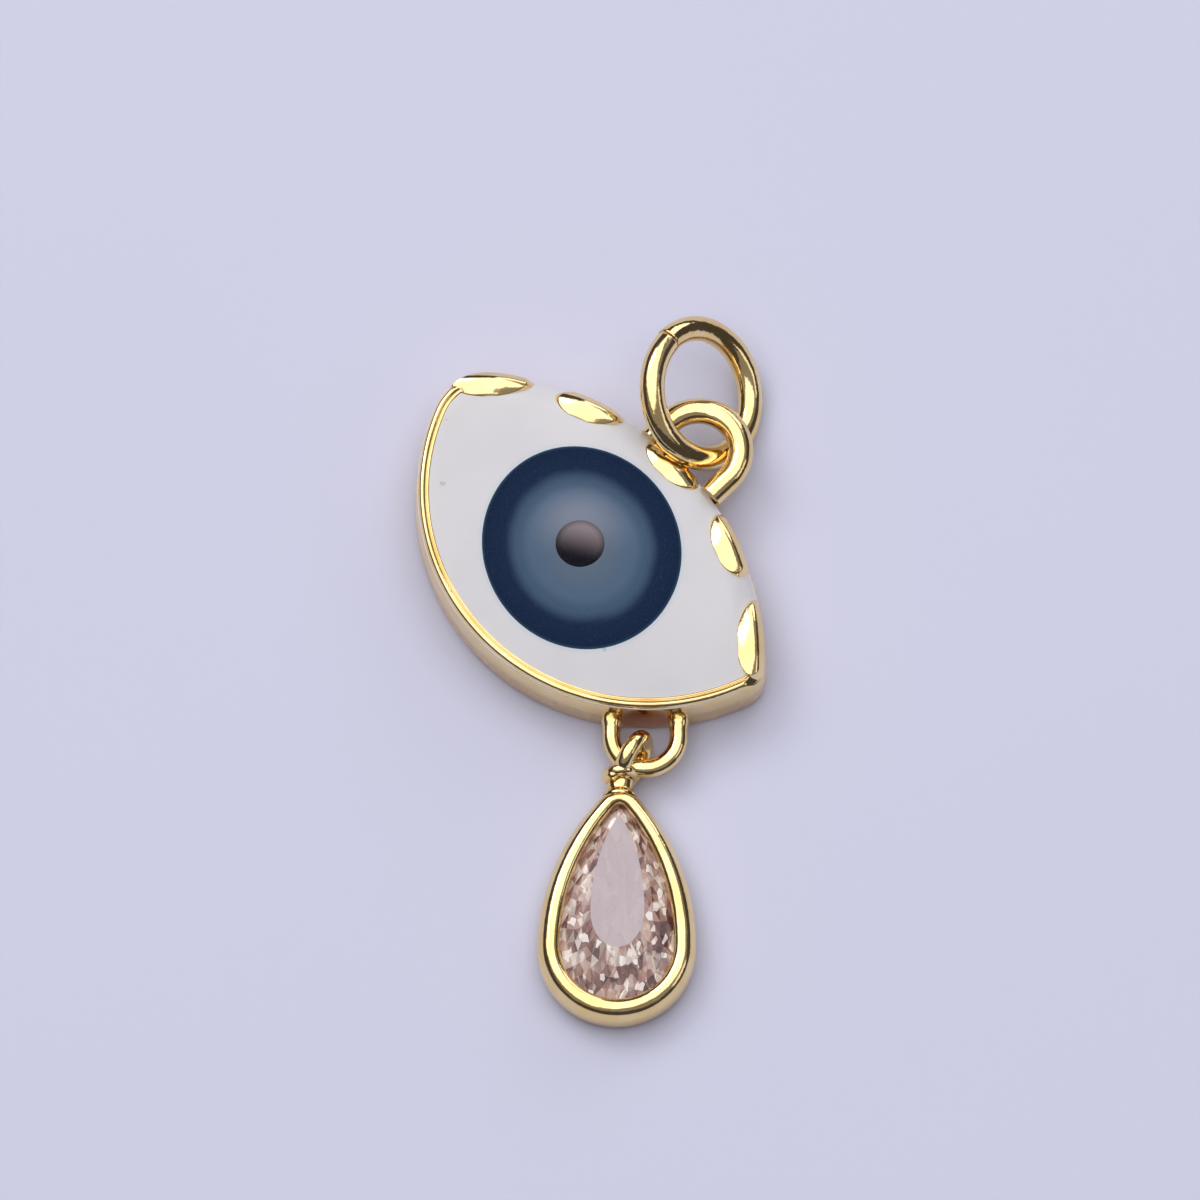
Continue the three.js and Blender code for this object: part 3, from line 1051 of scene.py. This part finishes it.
class WireSweep:
    """Geometry Nodes tree that sweeps a round wire along a line, thicker or thinner by its own attribute."""

    SWELL = "swell"

    def __init__(self, gold: bpy.types.Material) -> None:
        """Builds the tree once for all wires."""
        tree = bpy.data.node_groups.new("round_wire", "GeometryNodeTree")
        face = tree.interface
        face.new_socket("Line", in_out="INPUT", socket_type="NodeSocketGeometry")
        thickness = face.new_socket("Wire Radius", in_out="INPUT", socket_type="NodeSocketFloat")
        sides = face.new_socket("Sides", in_out="INPUT", socket_type="NodeSocketInt")
        self.radius_id, self.sides_id = thickness.identifier, sides.identifier
        face.new_socket("Wire", in_out="OUTPUT", socket_type="NodeSocketGeometry")
        made = {k: tree.nodes.new(t) for k, t in {
            "start": "NodeGroupInput",
            "curve": "GeometryNodeMeshToCurve",
            "swell": "GeometryNodeInputNamedAttribute",
            "radius": "GeometryNodeSetCurveRadius",
            "circle": "GeometryNodeCurvePrimitiveCircle",
            "sweep": "GeometryNodeCurveToMesh",
            "smooth": "GeometryNodeSetShadeSmooth",
            "real": "GeometryNodeRealizeInstances",
            "dress": "GeometryNodeSetMaterial",
            "end": "NodeGroupOutput",
        }.items()}
        made["swell"].data_type = "FLOAT"
        made["swell"].inputs["Name"].default_value = self.SWELL
        made["sweep"].inputs["Fill Caps"].default_value = True
        made["dress"].inputs["Material"].default_value = gold
        link = tree.links.new
        link(made["start"].outputs["Line"], made["curve"].inputs[0])
        link(made["curve"].outputs[0], made["radius"].inputs[0])
        link(made["swell"].outputs["Attribute"], made["radius"].inputs["Radius"])
        link(made["start"].outputs["Wire Radius"], made["circle"].inputs["Radius"])
        link(made["start"].outputs["Sides"], made["circle"].inputs["Resolution"])
        link(made["radius"].outputs[0], made["sweep"].inputs["Curve"])
        link(made["circle"].outputs[0], made["sweep"].inputs["Profile Curve"])
        if "Scale" in made["sweep"].inputs:
            link(made["swell"].outputs["Attribute"], made["sweep"].inputs["Scale"])
        link(made["sweep"].outputs[0], made["smooth"].inputs[0])
        link(made["smooth"].outputs[0], made["real"].inputs[0])
        link(made["real"].outputs[0], made["dress"].inputs[0])
        link(made["dress"].outputs[0], made["end"].inputs[0])
        self.tree = tree

    def sweep(
        self,
        name: str,
        line: Sequence[Vector],
        radius: float,
        closed: bool = False,
        swell: Callable[[float], float] | None = None,
        sides: int = 36,
    ) -> bpy.types.Object:
        """Sweeps one wire.

        Args:
            name: The piece's name.
            line: Points of its middle line, in millimetres.
            radius: The wire's radius in millimetres.
            closed: Whether the line closes on itself.
            swell: Share of the radius at a place from 0 to 1 along the line.
            sides: Sides of the wire's section.

        Returns:
            A plain mesh object with its material.
        """
        mesh = bpy.data.meshes.new(name + "_line")
        count = len(line)
        edges = [(i, i + 1) for i in range(count - 1)] + ([(count - 1, 0)] if closed else [])
        mesh.from_pydata([p * MM for p in line], edges, [])
        layer = mesh.attributes.new(self.SWELL, "FLOAT", "POINT")
        layer.data.foreach_set("value", [swell(i / (count - 1)) if swell else 1.0 for i in range(count)])
        carrier = bpy.data.objects.new(name + "_line", mesh)
        bpy.context.scene.collection.objects.link(carrier)
        modifier = carrier.modifiers.new("wire", "NODES")
        modifier.node_group = self.tree
        modifier[self.radius_id] = radius * MM
        modifier[self.sides_id] = sides
        graph = bpy.context.evaluated_depsgraph_get()
        swept = bpy.data.meshes.new_from_object(carrier.evaluated_get(graph), depsgraph=graph)
        bpy.data.objects.remove(carrier)
        swept.name = name
        self._outward(swept)
        made = bpy.data.objects.new(name, swept)
        bpy.context.scene.collection.objects.link(made)
        return made

    @staticmethod
    def _outward(mesh: bpy.types.Mesh) -> None:
        """Merges doubles, turns every face outwards and keeps cut ends crisp."""
        work = bmesh.new()
        work.from_mesh(mesh)
        bmesh.ops.remove_doubles(work, verts=work.verts, dist=1e-8)
        bmesh.ops.recalc_face_normals(work, faces=work.faces)
        work.to_mesh(mesh)
        work.free()
        mesh.polygons.foreach_set("use_smooth", [True] * len(mesh.polygons))
        mesh.set_sharp_from_angle(angle=math.radians(50))


@dataclass
class SolderedRing:
    """Half ring of wire whose legs run into the tray's wall, with a swell of solder at each foot."""

    name: str
    node: str
    centre: Vector
    facing_deg: float
    radius: float
    wire: float
    leg: float
    solder: float = 0.0
    solder_from: float = 0.42
    solder_reach: float = 0.26
    stations: int = 150

    def build(self, sweep: WireSweep) -> bpy.types.Object:
        """Builds the ring.

        Args:
            sweep: The wire tree.

        Returns:
            The dressed object.
        """
        bow = math.pi * self.radius
        total = bow + 2 * self.leg
        line: list[Vector] = []
        for i in range(self.stations):
            s = total * i / (self.stations - 1)
            if s < self.leg:
                p = (-self.radius, s - self.leg)
            elif s > self.leg + bow:
                p = (self.radius, self.leg + bow - s)
            else:
                a = (s - self.leg) / self.radius
                p = (-self.radius * math.cos(a), self.radius * math.sin(a))
            x, y = turned(p, self.facing_deg)
            line.append(self.centre + Vector((x, y, 0)))

        def swell(t: float) -> float:
            """Wire at full size, swelling towards both feet."""
            near = min(t, 1 - t) * total
            reach = self.solder_from + self.solder_reach
            return 1 + self.solder * smooth_step(reach, self.solder_from, near)

        made = sweep.sweep(self.name, line, self.wire, swell=swell)
        return settle(made, Body.EYE, [self.node], None)


def bail_ring(shape: EyeShape) -> SolderedRing:
    """The bail on the upper lid, its middle set along and out from the eye's own."""
    cx, cy = shape.centre()
    bx, by = turned((-0.46, 4.47), shape.turn_deg)
    middle = Vector((cx + bx, cy + by, box_middle("bail_loop").z))
    return SolderedRing("bail_wire", "bail_loop", middle, shape.turn_deg, radius=1.4, wire=0.43, leg=0.855)


def hanger_ring() -> SolderedRing:
    """The hanger under the lower lid, its bow resting in the foot of its CAD box."""
    radius, wire = 1.12, 0.31
    low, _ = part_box("hanger_loop")
    box = box_middle("hanger_loop")
    middle = Vector((box.x, low.y / MM + radius + wire, box.z))
    return SolderedRing("hanger_wire", "hanger_loop", middle, 180.0, radius, wire, leg=0.95, solder=0.14)


@dataclass
class JumpRing:
    """Open ring of round wire, its sawn ends sprung slightly apart."""

    radius: float = 2.19
    wire: float = 0.42
    tilt_deg: float = 42.0
    lean_deg: float = -11.0
    cut_deg: float = 147.0
    gap_deg: float = 2.4
    spring: float = 0.07
    stations: int = 220
    burr: float = 0.0016
    burr_sizes: tuple[float, float] = (0.90, 0.965)

    def build(self, sweep: WireSweep) -> bpy.types.Object:
        """Builds the ring.

        Args:
            sweep: The wire tree.

        Returns:
            The dressed object.
        """
        middle = box_middle("jump_ring")
        gap = math.radians(self.gap_deg)
        start = math.radians(self.cut_deg) + gap / 2
        turn = 2 * math.pi - gap
        tilt = math.radians(self.tilt_deg)
        ends = [0.0, self.burr * 0.35, self.burr]
        between = [i / self.stations for i in range(1, self.stations)]
        stops = [*ends, *between, *[1 - t for t in reversed(ends)]]
        line: list[Vector] = []
        for t in stops:
            a = start + turn * t
            p = (self.radius * math.cos(a), self.radius * math.sin(a), self.spring * (0.5 - t))
            flat = (p[0] * math.cos(tilt) + p[2] * math.sin(tilt), p[1])
            x, y = turned(flat, self.lean_deg)
            line.append(middle + Vector((x, y, -p[0] * math.sin(tilt) + p[2] * math.cos(tilt))))
        last = len(stops) - 1
        edge, inner = self.burr_sizes
        sizes = {0: edge, 1: inner, last - 1: inner, last: edge}

        def swell(t: float) -> float:
            """Full size, with the sawn edges just broken."""
            return sizes.get(round(t * last), 1.0)

        made = sweep.sweep("jump_ring_wire", line, self.wire, swell=swell)
        return settle(made, Body.JUMP_RING, ["jump_ring"], None)


# ---- the drop --------------------------------------------------------------------


@dataclass(eq=False)
class PearDrop:
    """Pear cup, its stone, the turned collar and the wrapped wire loop, in millimetres."""

    gold: bpy.types.Material
    wire_gold: bpy.types.Material
    stone: Callable[[tuple[float, float, float]], bpy.types.Material]
    round_radius: float = 2.6
    flank_radius: float = 7.7
    tip_radius: float = 0.95
    turn_deg: float = -1.2
    swell: float = 0.05
    cup: tuple[Point, ...] = (
        (0.30, 0.0), (0.16, 0.03), (0.06, 0.13), (-0.03, 0.4), (-0.05, 0.75), (-0.01, 1.02),
        (0.05, 1.16), (0.15, 1.31), (0.30, 1.41), (0.46, 1.43), (0.60, 1.38), (0.69, 1.27),
        (0.71, 1.10), (0.71, 0.8), (0.92, 0.5), (0.92, 0.2),
    )
    girdle_inset: float = 0.69
    stone_middle: float = 3.56
    facets: int = 34
    tiers: tuple[tuple[float, float, float], ...] = (
        (0.40, 0.70, 0.50), (0.99, 0.99, 0.90), (1.0, 1.0, 0.98), (0.88, 0.93, 1.06),
        (0.75, 0.86, 1.13), (0.62, 0.79, 1.18), (0.47, 0.67, 1.235),
    )
    collar: tuple[Point, ...] = (
        (0.57, -0.13), (0.56, -0.05), (0.48, 0.06), (0.46, 0.20), (0.47, 0.40), (0.37, 0.46),
    )
    collar_sides: int = 48
    height: float = 0.72
    loop: "LoopShape" = field(default_factory=lambda: LoopShape())
    binding: "Binding" = field(default_factory=lambda: Binding())

    @cache
    def origin(self) -> Point:
        """Row-frame middle of the cup's round end."""
        low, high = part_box("drop_bezel")
        return (low.x + high.x) / 2 / MM, low.y / MM + self.round_radius + self.swell

    def window(self, inset: float, density: int = 6) -> list[Point]:
        """The pear outline moved inwards, its point drawn on so that the lip thins towards it."""
        reach = 1 + 0.043 * max(0.0, inset) / self.girdle_inset
        return [(x, y * reach if y > 0 else y) for x, y in self.pear(inset, density)]

    def pear(self, inset: float, density: int = 6) -> list[Point]:
        """The pear outline moved inwards, anticlockwise.

        Args:
            inset: Distance inwards.
            density: Points on each arc for each 1 of its share.

        Returns:
            The closed outline's points.
        """
        off = self.flank_radius - self.round_radius
        r = self.flank_radius - inset
        tip = max(self.tip_radius - inset, 0.05)
        top = math.sqrt((r - tip) ** 2 - off**2)
        end = math.atan2(top, off)
        return [
            *arc((0, 0), self.round_radius - inset, math.pi, 2 * math.pi, 9 * density),
            *arc((-off, 0), r, 0, end, 6 * density),
            *arc((0, top), tip, end, math.pi - end, 2 * density),
            *arc((off, 0), r, math.pi - end, math.pi, 6 * density),
        ]

    def placed(self, points: Iterable[Point], z: float) -> Ring:
        """Lifts points of the drop's frame into the row frame."""
        ox, oy = self.origin()
        spots = (turned(p, self.turn_deg) for p in points)
        return [(ox + x, oy + y, z) for x, y in spots]

    def build(self, sweep: WireSweep, hanger: "SolderedRing") -> list[bpy.types.Object]:
        """Builds the drop.

        Args:
            sweep: The wire tree.
            hanger: The loop it hangs from.

        Returns:
            The dressed objects.
        """
        return [self._cup(), self._stone(), *self._neck(sweep, hanger)]

    def _cup(self) -> bpy.types.Object:
        """The bezel cup."""
        shell = Shell("pear_cup")
        shell.stack([self.placed(self.window(v), z) for v, z in flowing(self.cup, 6)])
        return settle(shell.build(70), Body.DROP, ["drop_bezel"], self.gold)

    def _stone(self) -> bpy.types.Object:
        """The pear-cut stone, each facet flat, with its own tint and painted shade."""
        rng = random.Random(SEED)
        n = self.facets
        outline = self.window(self.girdle_inset, 24)
        shell = Shell("pink_stone")
        for level, (wide, long, z) in enumerate(self.tiers):
            shift = 0.5 * (level % 2)
            wobble = 0.035 if 2 < level < len(self.tiers) - 1 else 0.0
            for i in range(n):
                x, y = outline[int((i + shift) / n * len(outline)) % len(outline)]
                spot = (x * wide, self.stone_middle + (y - self.stone_middle) * long)
                shell.points += self.placed([spot], z + rng.uniform(-wobble, wobble))
        total = len(self.tiers)
        for r in range(total - 1):
            for i in range(n):
                a, b = r * n + i, r * n + (i + 1) % n
                if r % 2:
                    shell.faces += [(a, b, b + n), (a, b + n, a + n)]
                else:
                    shell.faces += [(a, b, a + n), (b, b + n, a + n)]
        hub_low = len(shell.points)
        shell.points += self.placed([(0, 1.6)], 0.27)
        for i in range(n):
            shell.faces.append((hub_low, (i + 1) % n, i))
        top = (total - 1) * n
        shell.faces.append(tuple(range(top, top + n)))
        made = shell.build()
        made.data.polygons.foreach_set("use_smooth", [False] * len(made.data.polygons))
        self._tint_and_shade(made.data, rng)
        ox, oy = self.origin()
        finish = self.stone((ox * MM, oy * MM, 0.0))
        return settle(made, Body.DROP, ["gem"], finish)

    def _tint_and_shade(self, mesh: bpy.types.Mesh, rng: random.Random) -> None:
        """Gives every facet its own tint and painted light: painted shade to the right and at the lower
        left, and lighter and darker facets at random as painted reflections.

        Args:
            mesh: The stone's mesh.
            rng: Seeded source of the facets' variety.
        """
        # Painted light: facet tones from near black to pale, the dark ones for shade and the pale ones for
        # reflections.
        lit_and_shaded_tones: tuple[Colour, ...] = (
            (0.07, 0.024, 0.026), (0.19, 0.08, 0.07), (0.40, 0.21, 0.175), (0.56, 0.36, 0.28),
            (0.60, 0.46, 0.42), (0.92, 0.84, 0.78),
        )
        mesh.attributes.new("facet_tint_and_shade", "FLOAT_COLOR", "FACE")
        mesh.attributes.new("facet_busy", "FLOAT", "FACE")
        tint_and_shade, busy = mesh.attributes["facet_tint_and_shade"], mesh.attributes["facet_busy"]
        ox, oy = self.origin()
        for face in mesh.polygons:
            x, y = face.center.x / MM - ox, face.center.y / MM - oy
            if len(face.vertices) > 4:
                tint_and_shade.data[face.index].color = (0.56, 0.47, 0.50, 1.0)
                busy.data[face.index].value = 0.06
                continue
            # Painted shade: facets to the right and at the lower left draw darker tones.
            right = smooth_step(0.6, 1.4, x) * smooth_step(2.4, 0.3, abs(y + 0.3))
            low = smooth_step(-0.3, -1.3, y)
            pick = rng.uniform(1.2, 5.9) - 3.0 * right - 1.5 * low
            tone = lit_and_shaded_tones[int(max(0, min(5, pick)))]
            tint_and_shade.data[face.index].color = (*tone, 1.0)
            busy.data[face.index].value = rng.uniform(0.30, 0.70)

    def _neck(self, sweep: WireSweep, hanger: "SolderedRing") -> list[bpy.types.Object]:
        """The collar and the wrapped loop.

        Args:
            sweep: The wire tree.
            hanger: The loop the drop hangs from.

        Returns:
            The dressed objects.
        """
        tip = max(p[1] for p in self.pear(-self.swell))
        ox, oy = self.origin()
        rings: list[Ring] = []
        for r, beyond in flowing(self.collar, 4):
            ring: Ring = []
            for i in range(self.collar_sides):
                a = 2 * math.pi * i / self.collar_sides
                sx, sy = turned((r * math.cos(a), tip + beyond), self.turn_deg)
                ring.append((ox + sx, oy + sy, self.height - r * math.sin(a)))
            rings.append(ring)
        peg = Shell("turned_collar")
        peg.stack(rings)
        collar = settle(peg.build(70), Body.DROP, ["drop_collar"], self.wire_gold)
        return [collar, self._loop(sweep, hanger, tip + self.collar[-1][1])]

    def _loop(self, sweep: WireSweep, hanger: "SolderedRing", neck_top: float) -> bpy.types.Object:
        """The drop's loop and the turn that binds it, melted into one piece.

        Args:
            sweep: The wire tree.
            hanger: The loop the drop hangs from.
            neck_top: Top of the collar in the drop's frame.

        Returns:
            The dressed object.
        """
        shape, binding = self.loop, self.binding
        loop = sweep.sweep("loop_wire", shape.line(hanger), shape.wire, closed=True, sides=24)
        bind = sweep.sweep(
            "bind_wire", [self.on_neck(p) for p in binding.line(neck_top)], binding.wire, sides=20,
            swell=lambda t: mix(0.6, 1.0, smooth_step(0, 0.06, min(t, 1 - t))),
        )
        core_line = [self.on_neck((0, y, 0)) for y in binding.core_span(neck_top)]
        core = sweep.sweep("core_wire", core_line, binding.core, sides=24)
        melted = melt("drop_loop_wire", [loop, bind, core], 0.018, 3)
        return settle(melted, Body.DROP, ["drop_loop"], self.wire_gold)

    def on_neck(self, p: tuple[float, float, float]) -> Vector:
        """A point of the neck's own axes, z measured from the neck's height, in the row frame."""
        ox, oy = self.origin()
        x, y = turned((p[0], p[1]), self.turn_deg)
        return Vector((ox + x, oy + y, self.height + p[2]))


@dataclass(frozen=True)
class LoopShape:
    """Oval of wire on top of the drop, squared a little, its foot pinched and bent to the neck."""

    half_length: float = 0.77
    half_height: float = 0.66
    wire: float = 0.28
    squareness: float = 2.3
    lean_deg: float = 29.0
    roll_deg: float = 14.0
    reach: float = 0.22
    hanger_deg: float = 243.0
    pinch: float = 0.5
    pinch_from: float = -0.35
    bend: float = 0.23
    bend_from: float = 0.1
    stations: int = 120

    def line(self, hanger: SolderedRing) -> list[Vector]:
        """Middle of the wire, round the hanger's.

        Args:
            hanger: The ring it hangs from.

        Returns:
            The closed line's points.
        """
        lean, roll, where = (math.radians(d) for d in (self.lean_deg, self.roll_deg, self.hanger_deg))
        cross = hanger.centre + hanger.radius * Vector((math.cos(where), math.sin(where), 0))
        along = Vector((math.sin(lean), math.cos(lean), 0))
        across = Vector((math.cos(lean), -math.sin(lean), 0))
        line: list[Vector] = []
        for i in range(self.stations):
            a = 2 * math.pi * i / self.stations
            c, s = math.cos(a), math.sin(a)
            y = self.half_length * math.copysign(abs(c) ** (2 / self.squareness), c)
            z = self.half_height * math.copysign(abs(s) ** (2 / self.squareness), s)
            z *= 1 - self.pinch * smooth_step(self.pinch_from, -1.0, c)
            fall = self.bend * smooth_step(self.bend_from, -1.0, c)
            up = Vector((0, 0, z * math.cos(roll) - fall))
            line.append(cross + along * (self.reach + y) - across * z * math.sin(roll) + up)
        return line


@dataclass(frozen=True)
class Binding:
    """Turn of wire that binds the loop's foot over a short core, measured from the neck's top."""

    wire: float = 0.19
    coil: float = 0.43
    turns: float = 1.35
    start_deg: float = 100.0
    foot: float = 0.03
    climb: float = 0.16
    sway: float = 0.06
    forward: float = 0.14
    depth_share: float = 1.25
    core: float = 0.34
    core_ends: Point = (-0.1, 0.24)
    stations: int = 90

    def line(self, neck_top: float) -> Ring:
        """Middle of the binding wire, from the top of the collar."""
        points: Ring = []
        for i in range(self.stations):
            t = i / (self.stations - 1)
            a = 2 * math.pi * self.turns * t + math.radians(self.start_deg)
            y = neck_top + self.foot + self.climb * t + self.sway * math.cos(a)
            z = self.forward + self.depth_share * self.coil * math.sin(a)
            points.append((self.coil * math.cos(a), y, z))
        return points

    def core_span(self, neck_top: float) -> list[float]:
        """Three places along the core."""
        low, high = self.core_ends
        return [neck_top + mix(low, high, t) for t in (0.0, 0.5, 1.0)]


def melt(name: str, parts: Sequence[bpy.types.Object], cell: float, passes: int) -> bpy.types.Object:
    """Joins pieces into one cast-looking solid.

    Args:
        name: The new piece's name.
        parts: Objects joined, then removed.
        cell: Size of the remesh cell in millimetres.
        passes: Smoothing passes.

    Returns:
        One plain object with no modifiers.
    """
    work = bmesh.new()
    for part in parts:
        work.from_mesh(part.data)
    mesh = bpy.data.meshes.new(name + "_rough")
    work.to_mesh(mesh)
    work.free()
    carrier = bpy.data.objects.new(name + "_rough", mesh)
    bpy.context.scene.collection.objects.link(carrier)
    remesh = carrier.modifiers.new("remesh", "REMESH")
    remesh.mode = "VOXEL"
    remesh.voxel_size = cell * MM
    remesh.use_smooth_shade = True
    soften = carrier.modifiers.new("soften", "SMOOTH")
    soften.factor = 0.5
    soften.iterations = passes
    graph = bpy.context.evaluated_depsgraph_get()
    done = bpy.data.meshes.new_from_object(carrier.evaluated_get(graph), depsgraph=graph)
    for spent in (carrier, *parts):
        bpy.data.objects.remove(spent)
    done.name = name
    made = bpy.data.objects.new(name, done)
    bpy.context.scene.collection.objects.link(made)
    return made


# ---- studio ------------------------------------------------------------------------


@dataclass(frozen=True)
class SoftBox:
    """Rectangular lamp that faces the charm."""

    name: str
    azimuth: float
    elevation: float
    distance: float
    width: float
    depth: float
    radiance: float
    colour: Colour = (1.0, 1.0, 1.0)

    def place(self, target: Vector) -> bpy.types.Object:
        """Adds the lamp.

        Args:
            target: Point it faces, in metres.

        Returns:
            The lamp's object.
        """
        lamp = bpy.data.lights.new(self.name, "AREA")
        lamp.shape = "RECTANGLE"
        lamp.size, lamp.size_y = self.width, self.depth
        lamp.energy = self.radiance * math.pi * self.width * self.depth
        lamp.color = self.colour
        made = bpy.data.objects.new(self.name, lamp)
        a, e = math.radians(self.azimuth), math.radians(self.elevation)
        away = Vector((math.cos(e) * math.cos(a), math.cos(e) * math.sin(a), math.sin(e)))
        made.location = target + away * self.distance
        made.rotation_mode = "QUATERNION"
        made.rotation_quaternion = away.to_track_quat("Z", "Y")
        made.visible_camera = False
        bpy.context.scene.collection.objects.link(made)
        return made


@dataclass
class Studio:
    """Floor, lamps, surroundings and camera."""

    elevation: float = 72.0
    field_mm: float = 40.0
    distance: float = 0.90
    aim: tuple[float, float, float] = (0.318, 2.60, 1.0)
    world: Colour = (0.06, 0.055, 0.06)
    boxes: tuple[SoftBox, ...] = (
        SoftBox("overhead", 120, 76, 0.55, 0.88, 0.82, 1.30, (1.0, 0.995, 1.0)),
        SoftBox("ceiling", 90, 88, 0.80, 2.40, 2.40, 0.20, (1.0, 0.99, 1.0)),
        SoftBox("key", 130, 46, 0.60, 0.30, 0.26, 2.3, (1.0, 0.985, 0.97)),
        SoftBox("back", 62, 24, 0.60, 0.36, 0.26, 1.6, (1.0, 0.99, 0.98)),
        SoftBox("side", 350, 30, 0.60, 0.26, 0.14, 1.0, (1.0, 0.99, 0.98)),
    )

    def build(self) -> None:
        """Adds floor, lamps, surroundings and camera."""
        scene = bpy.context.scene
        scene.view_settings.view_transform = "Standard"
        world = bpy.data.worlds.new("surroundings")
        world.use_nodes = True
        world.node_tree.nodes["Background"].inputs["Color"].default_value = (*self.world, 1.0)
        scene.world = world
        self._floor()
        aim = Vector(self.aim) * MM
        for box in self.boxes:
            box.place(aim)
        self._camera(aim)

    def _floor(self) -> None:
        """Adds the floor."""
        shell = Shell("floor")
        half = 600.0
        shell.points = [(-half, -half, 0.0), (half, -half, 0.0), (half, half, 0.0), (-half, half, 0.0)]
        shell.faces = [(0, 1, 2, 3)]
        floor = shell.build()
        floor.data.materials.append(PaleFloor("floor_card").make())

    def _camera(self, aim: Vector) -> None:
        """Adds the camera, looking down at the charm from its foot."""
        data = bpy.data.cameras.new("camera")
        camera = bpy.data.objects.new("camera", data)
        e = math.radians(self.elevation)
        back = Vector((0, -math.cos(e), math.sin(e)))
        camera.location = aim + back * self.distance
        camera.rotation_mode = "QUATERNION"
        camera.rotation_quaternion = back.to_track_quat("Z", "Y")
        data.sensor_width = 36.0
        data.lens = data.sensor_width * self.distance / (self.field_mm * MM)
        data.clip_start, data.clip_end = 0.01, 10.0
        bpy.context.scene.collection.objects.link(camera)
        bpy.context.scene.camera = camera


def main() -> None:
    """Builds the charm piece by piece, then the studio."""
    logging.basicConfig(level=logging.INFO)
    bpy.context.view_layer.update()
    shape = EyeShape()
    wire_gold = PolishedGold("wire_gold", gloss=0.09, ripple=0.2).make()
    sweep = WireSweep(wire_gold)

    cx, cy = shape.centre()
    ix, iy = turned(shape.iris, shape.turn_deg)
    px, py = turned(shape.pupil, shape.turn_deg)
    iris_at = ((cx + ix) * MM, (cy + iy) * MM, 0.0)
    pupil_at = ((cx + px) * MM, (cy + py) * MM, 0.0)
    iris_turn = shape.turn_deg + shape.iris_turn
    EyeEnamels(
        shape,
        WhiteEnamel("white_enamel", iris_at, shape.iris_semi, iris_turn).make(),
        IrisEnamel("blue_enamel", iris_at, shape.iris_semi, iris_turn).make(),
        PupilEnamel("dark_enamel", pupil_at, shape.pupil_radius).make(),
    ).build()

    bail, hanger = bail_ring(shape), hanger_ring()
    bail.build(sweep)
    hanger.build(sweep)
    # Spots of painted shade and painted reflection on the tray: between the hanger's feet and under the
    # bail's foot.
    shade_nooks = (
        (hanger.centre.x, hanger.centre.y + 0.75, hanger.centre.z, 1.25),
        (bail.centre.x - 0.5, bail.centre.y - 0.5, bail.centre.z - 0.75, 0.95),
    )
    # The tray's gold carries painted shade low on its walls and round the two spots.
    EyeTray(shape, PolishedGold("tray_gold", low_shade_share=0.8, shade_nooks=shade_nooks).make()).build()
    JumpRing().build(sweep)
    PearDrop(
        # The cup's gold carries painted shade low on its walls.
        PolishedGold("cup_gold", low_shade_share=0.5, low_shade_top=0.7).make(),
        wire_gold,
        lambda at: PinkStone("pink_stone", at, math.radians(1.2)).make(),
    ).build(sweep, hanger)
    Studio().build()


if __name__ == "__main__":
    main()
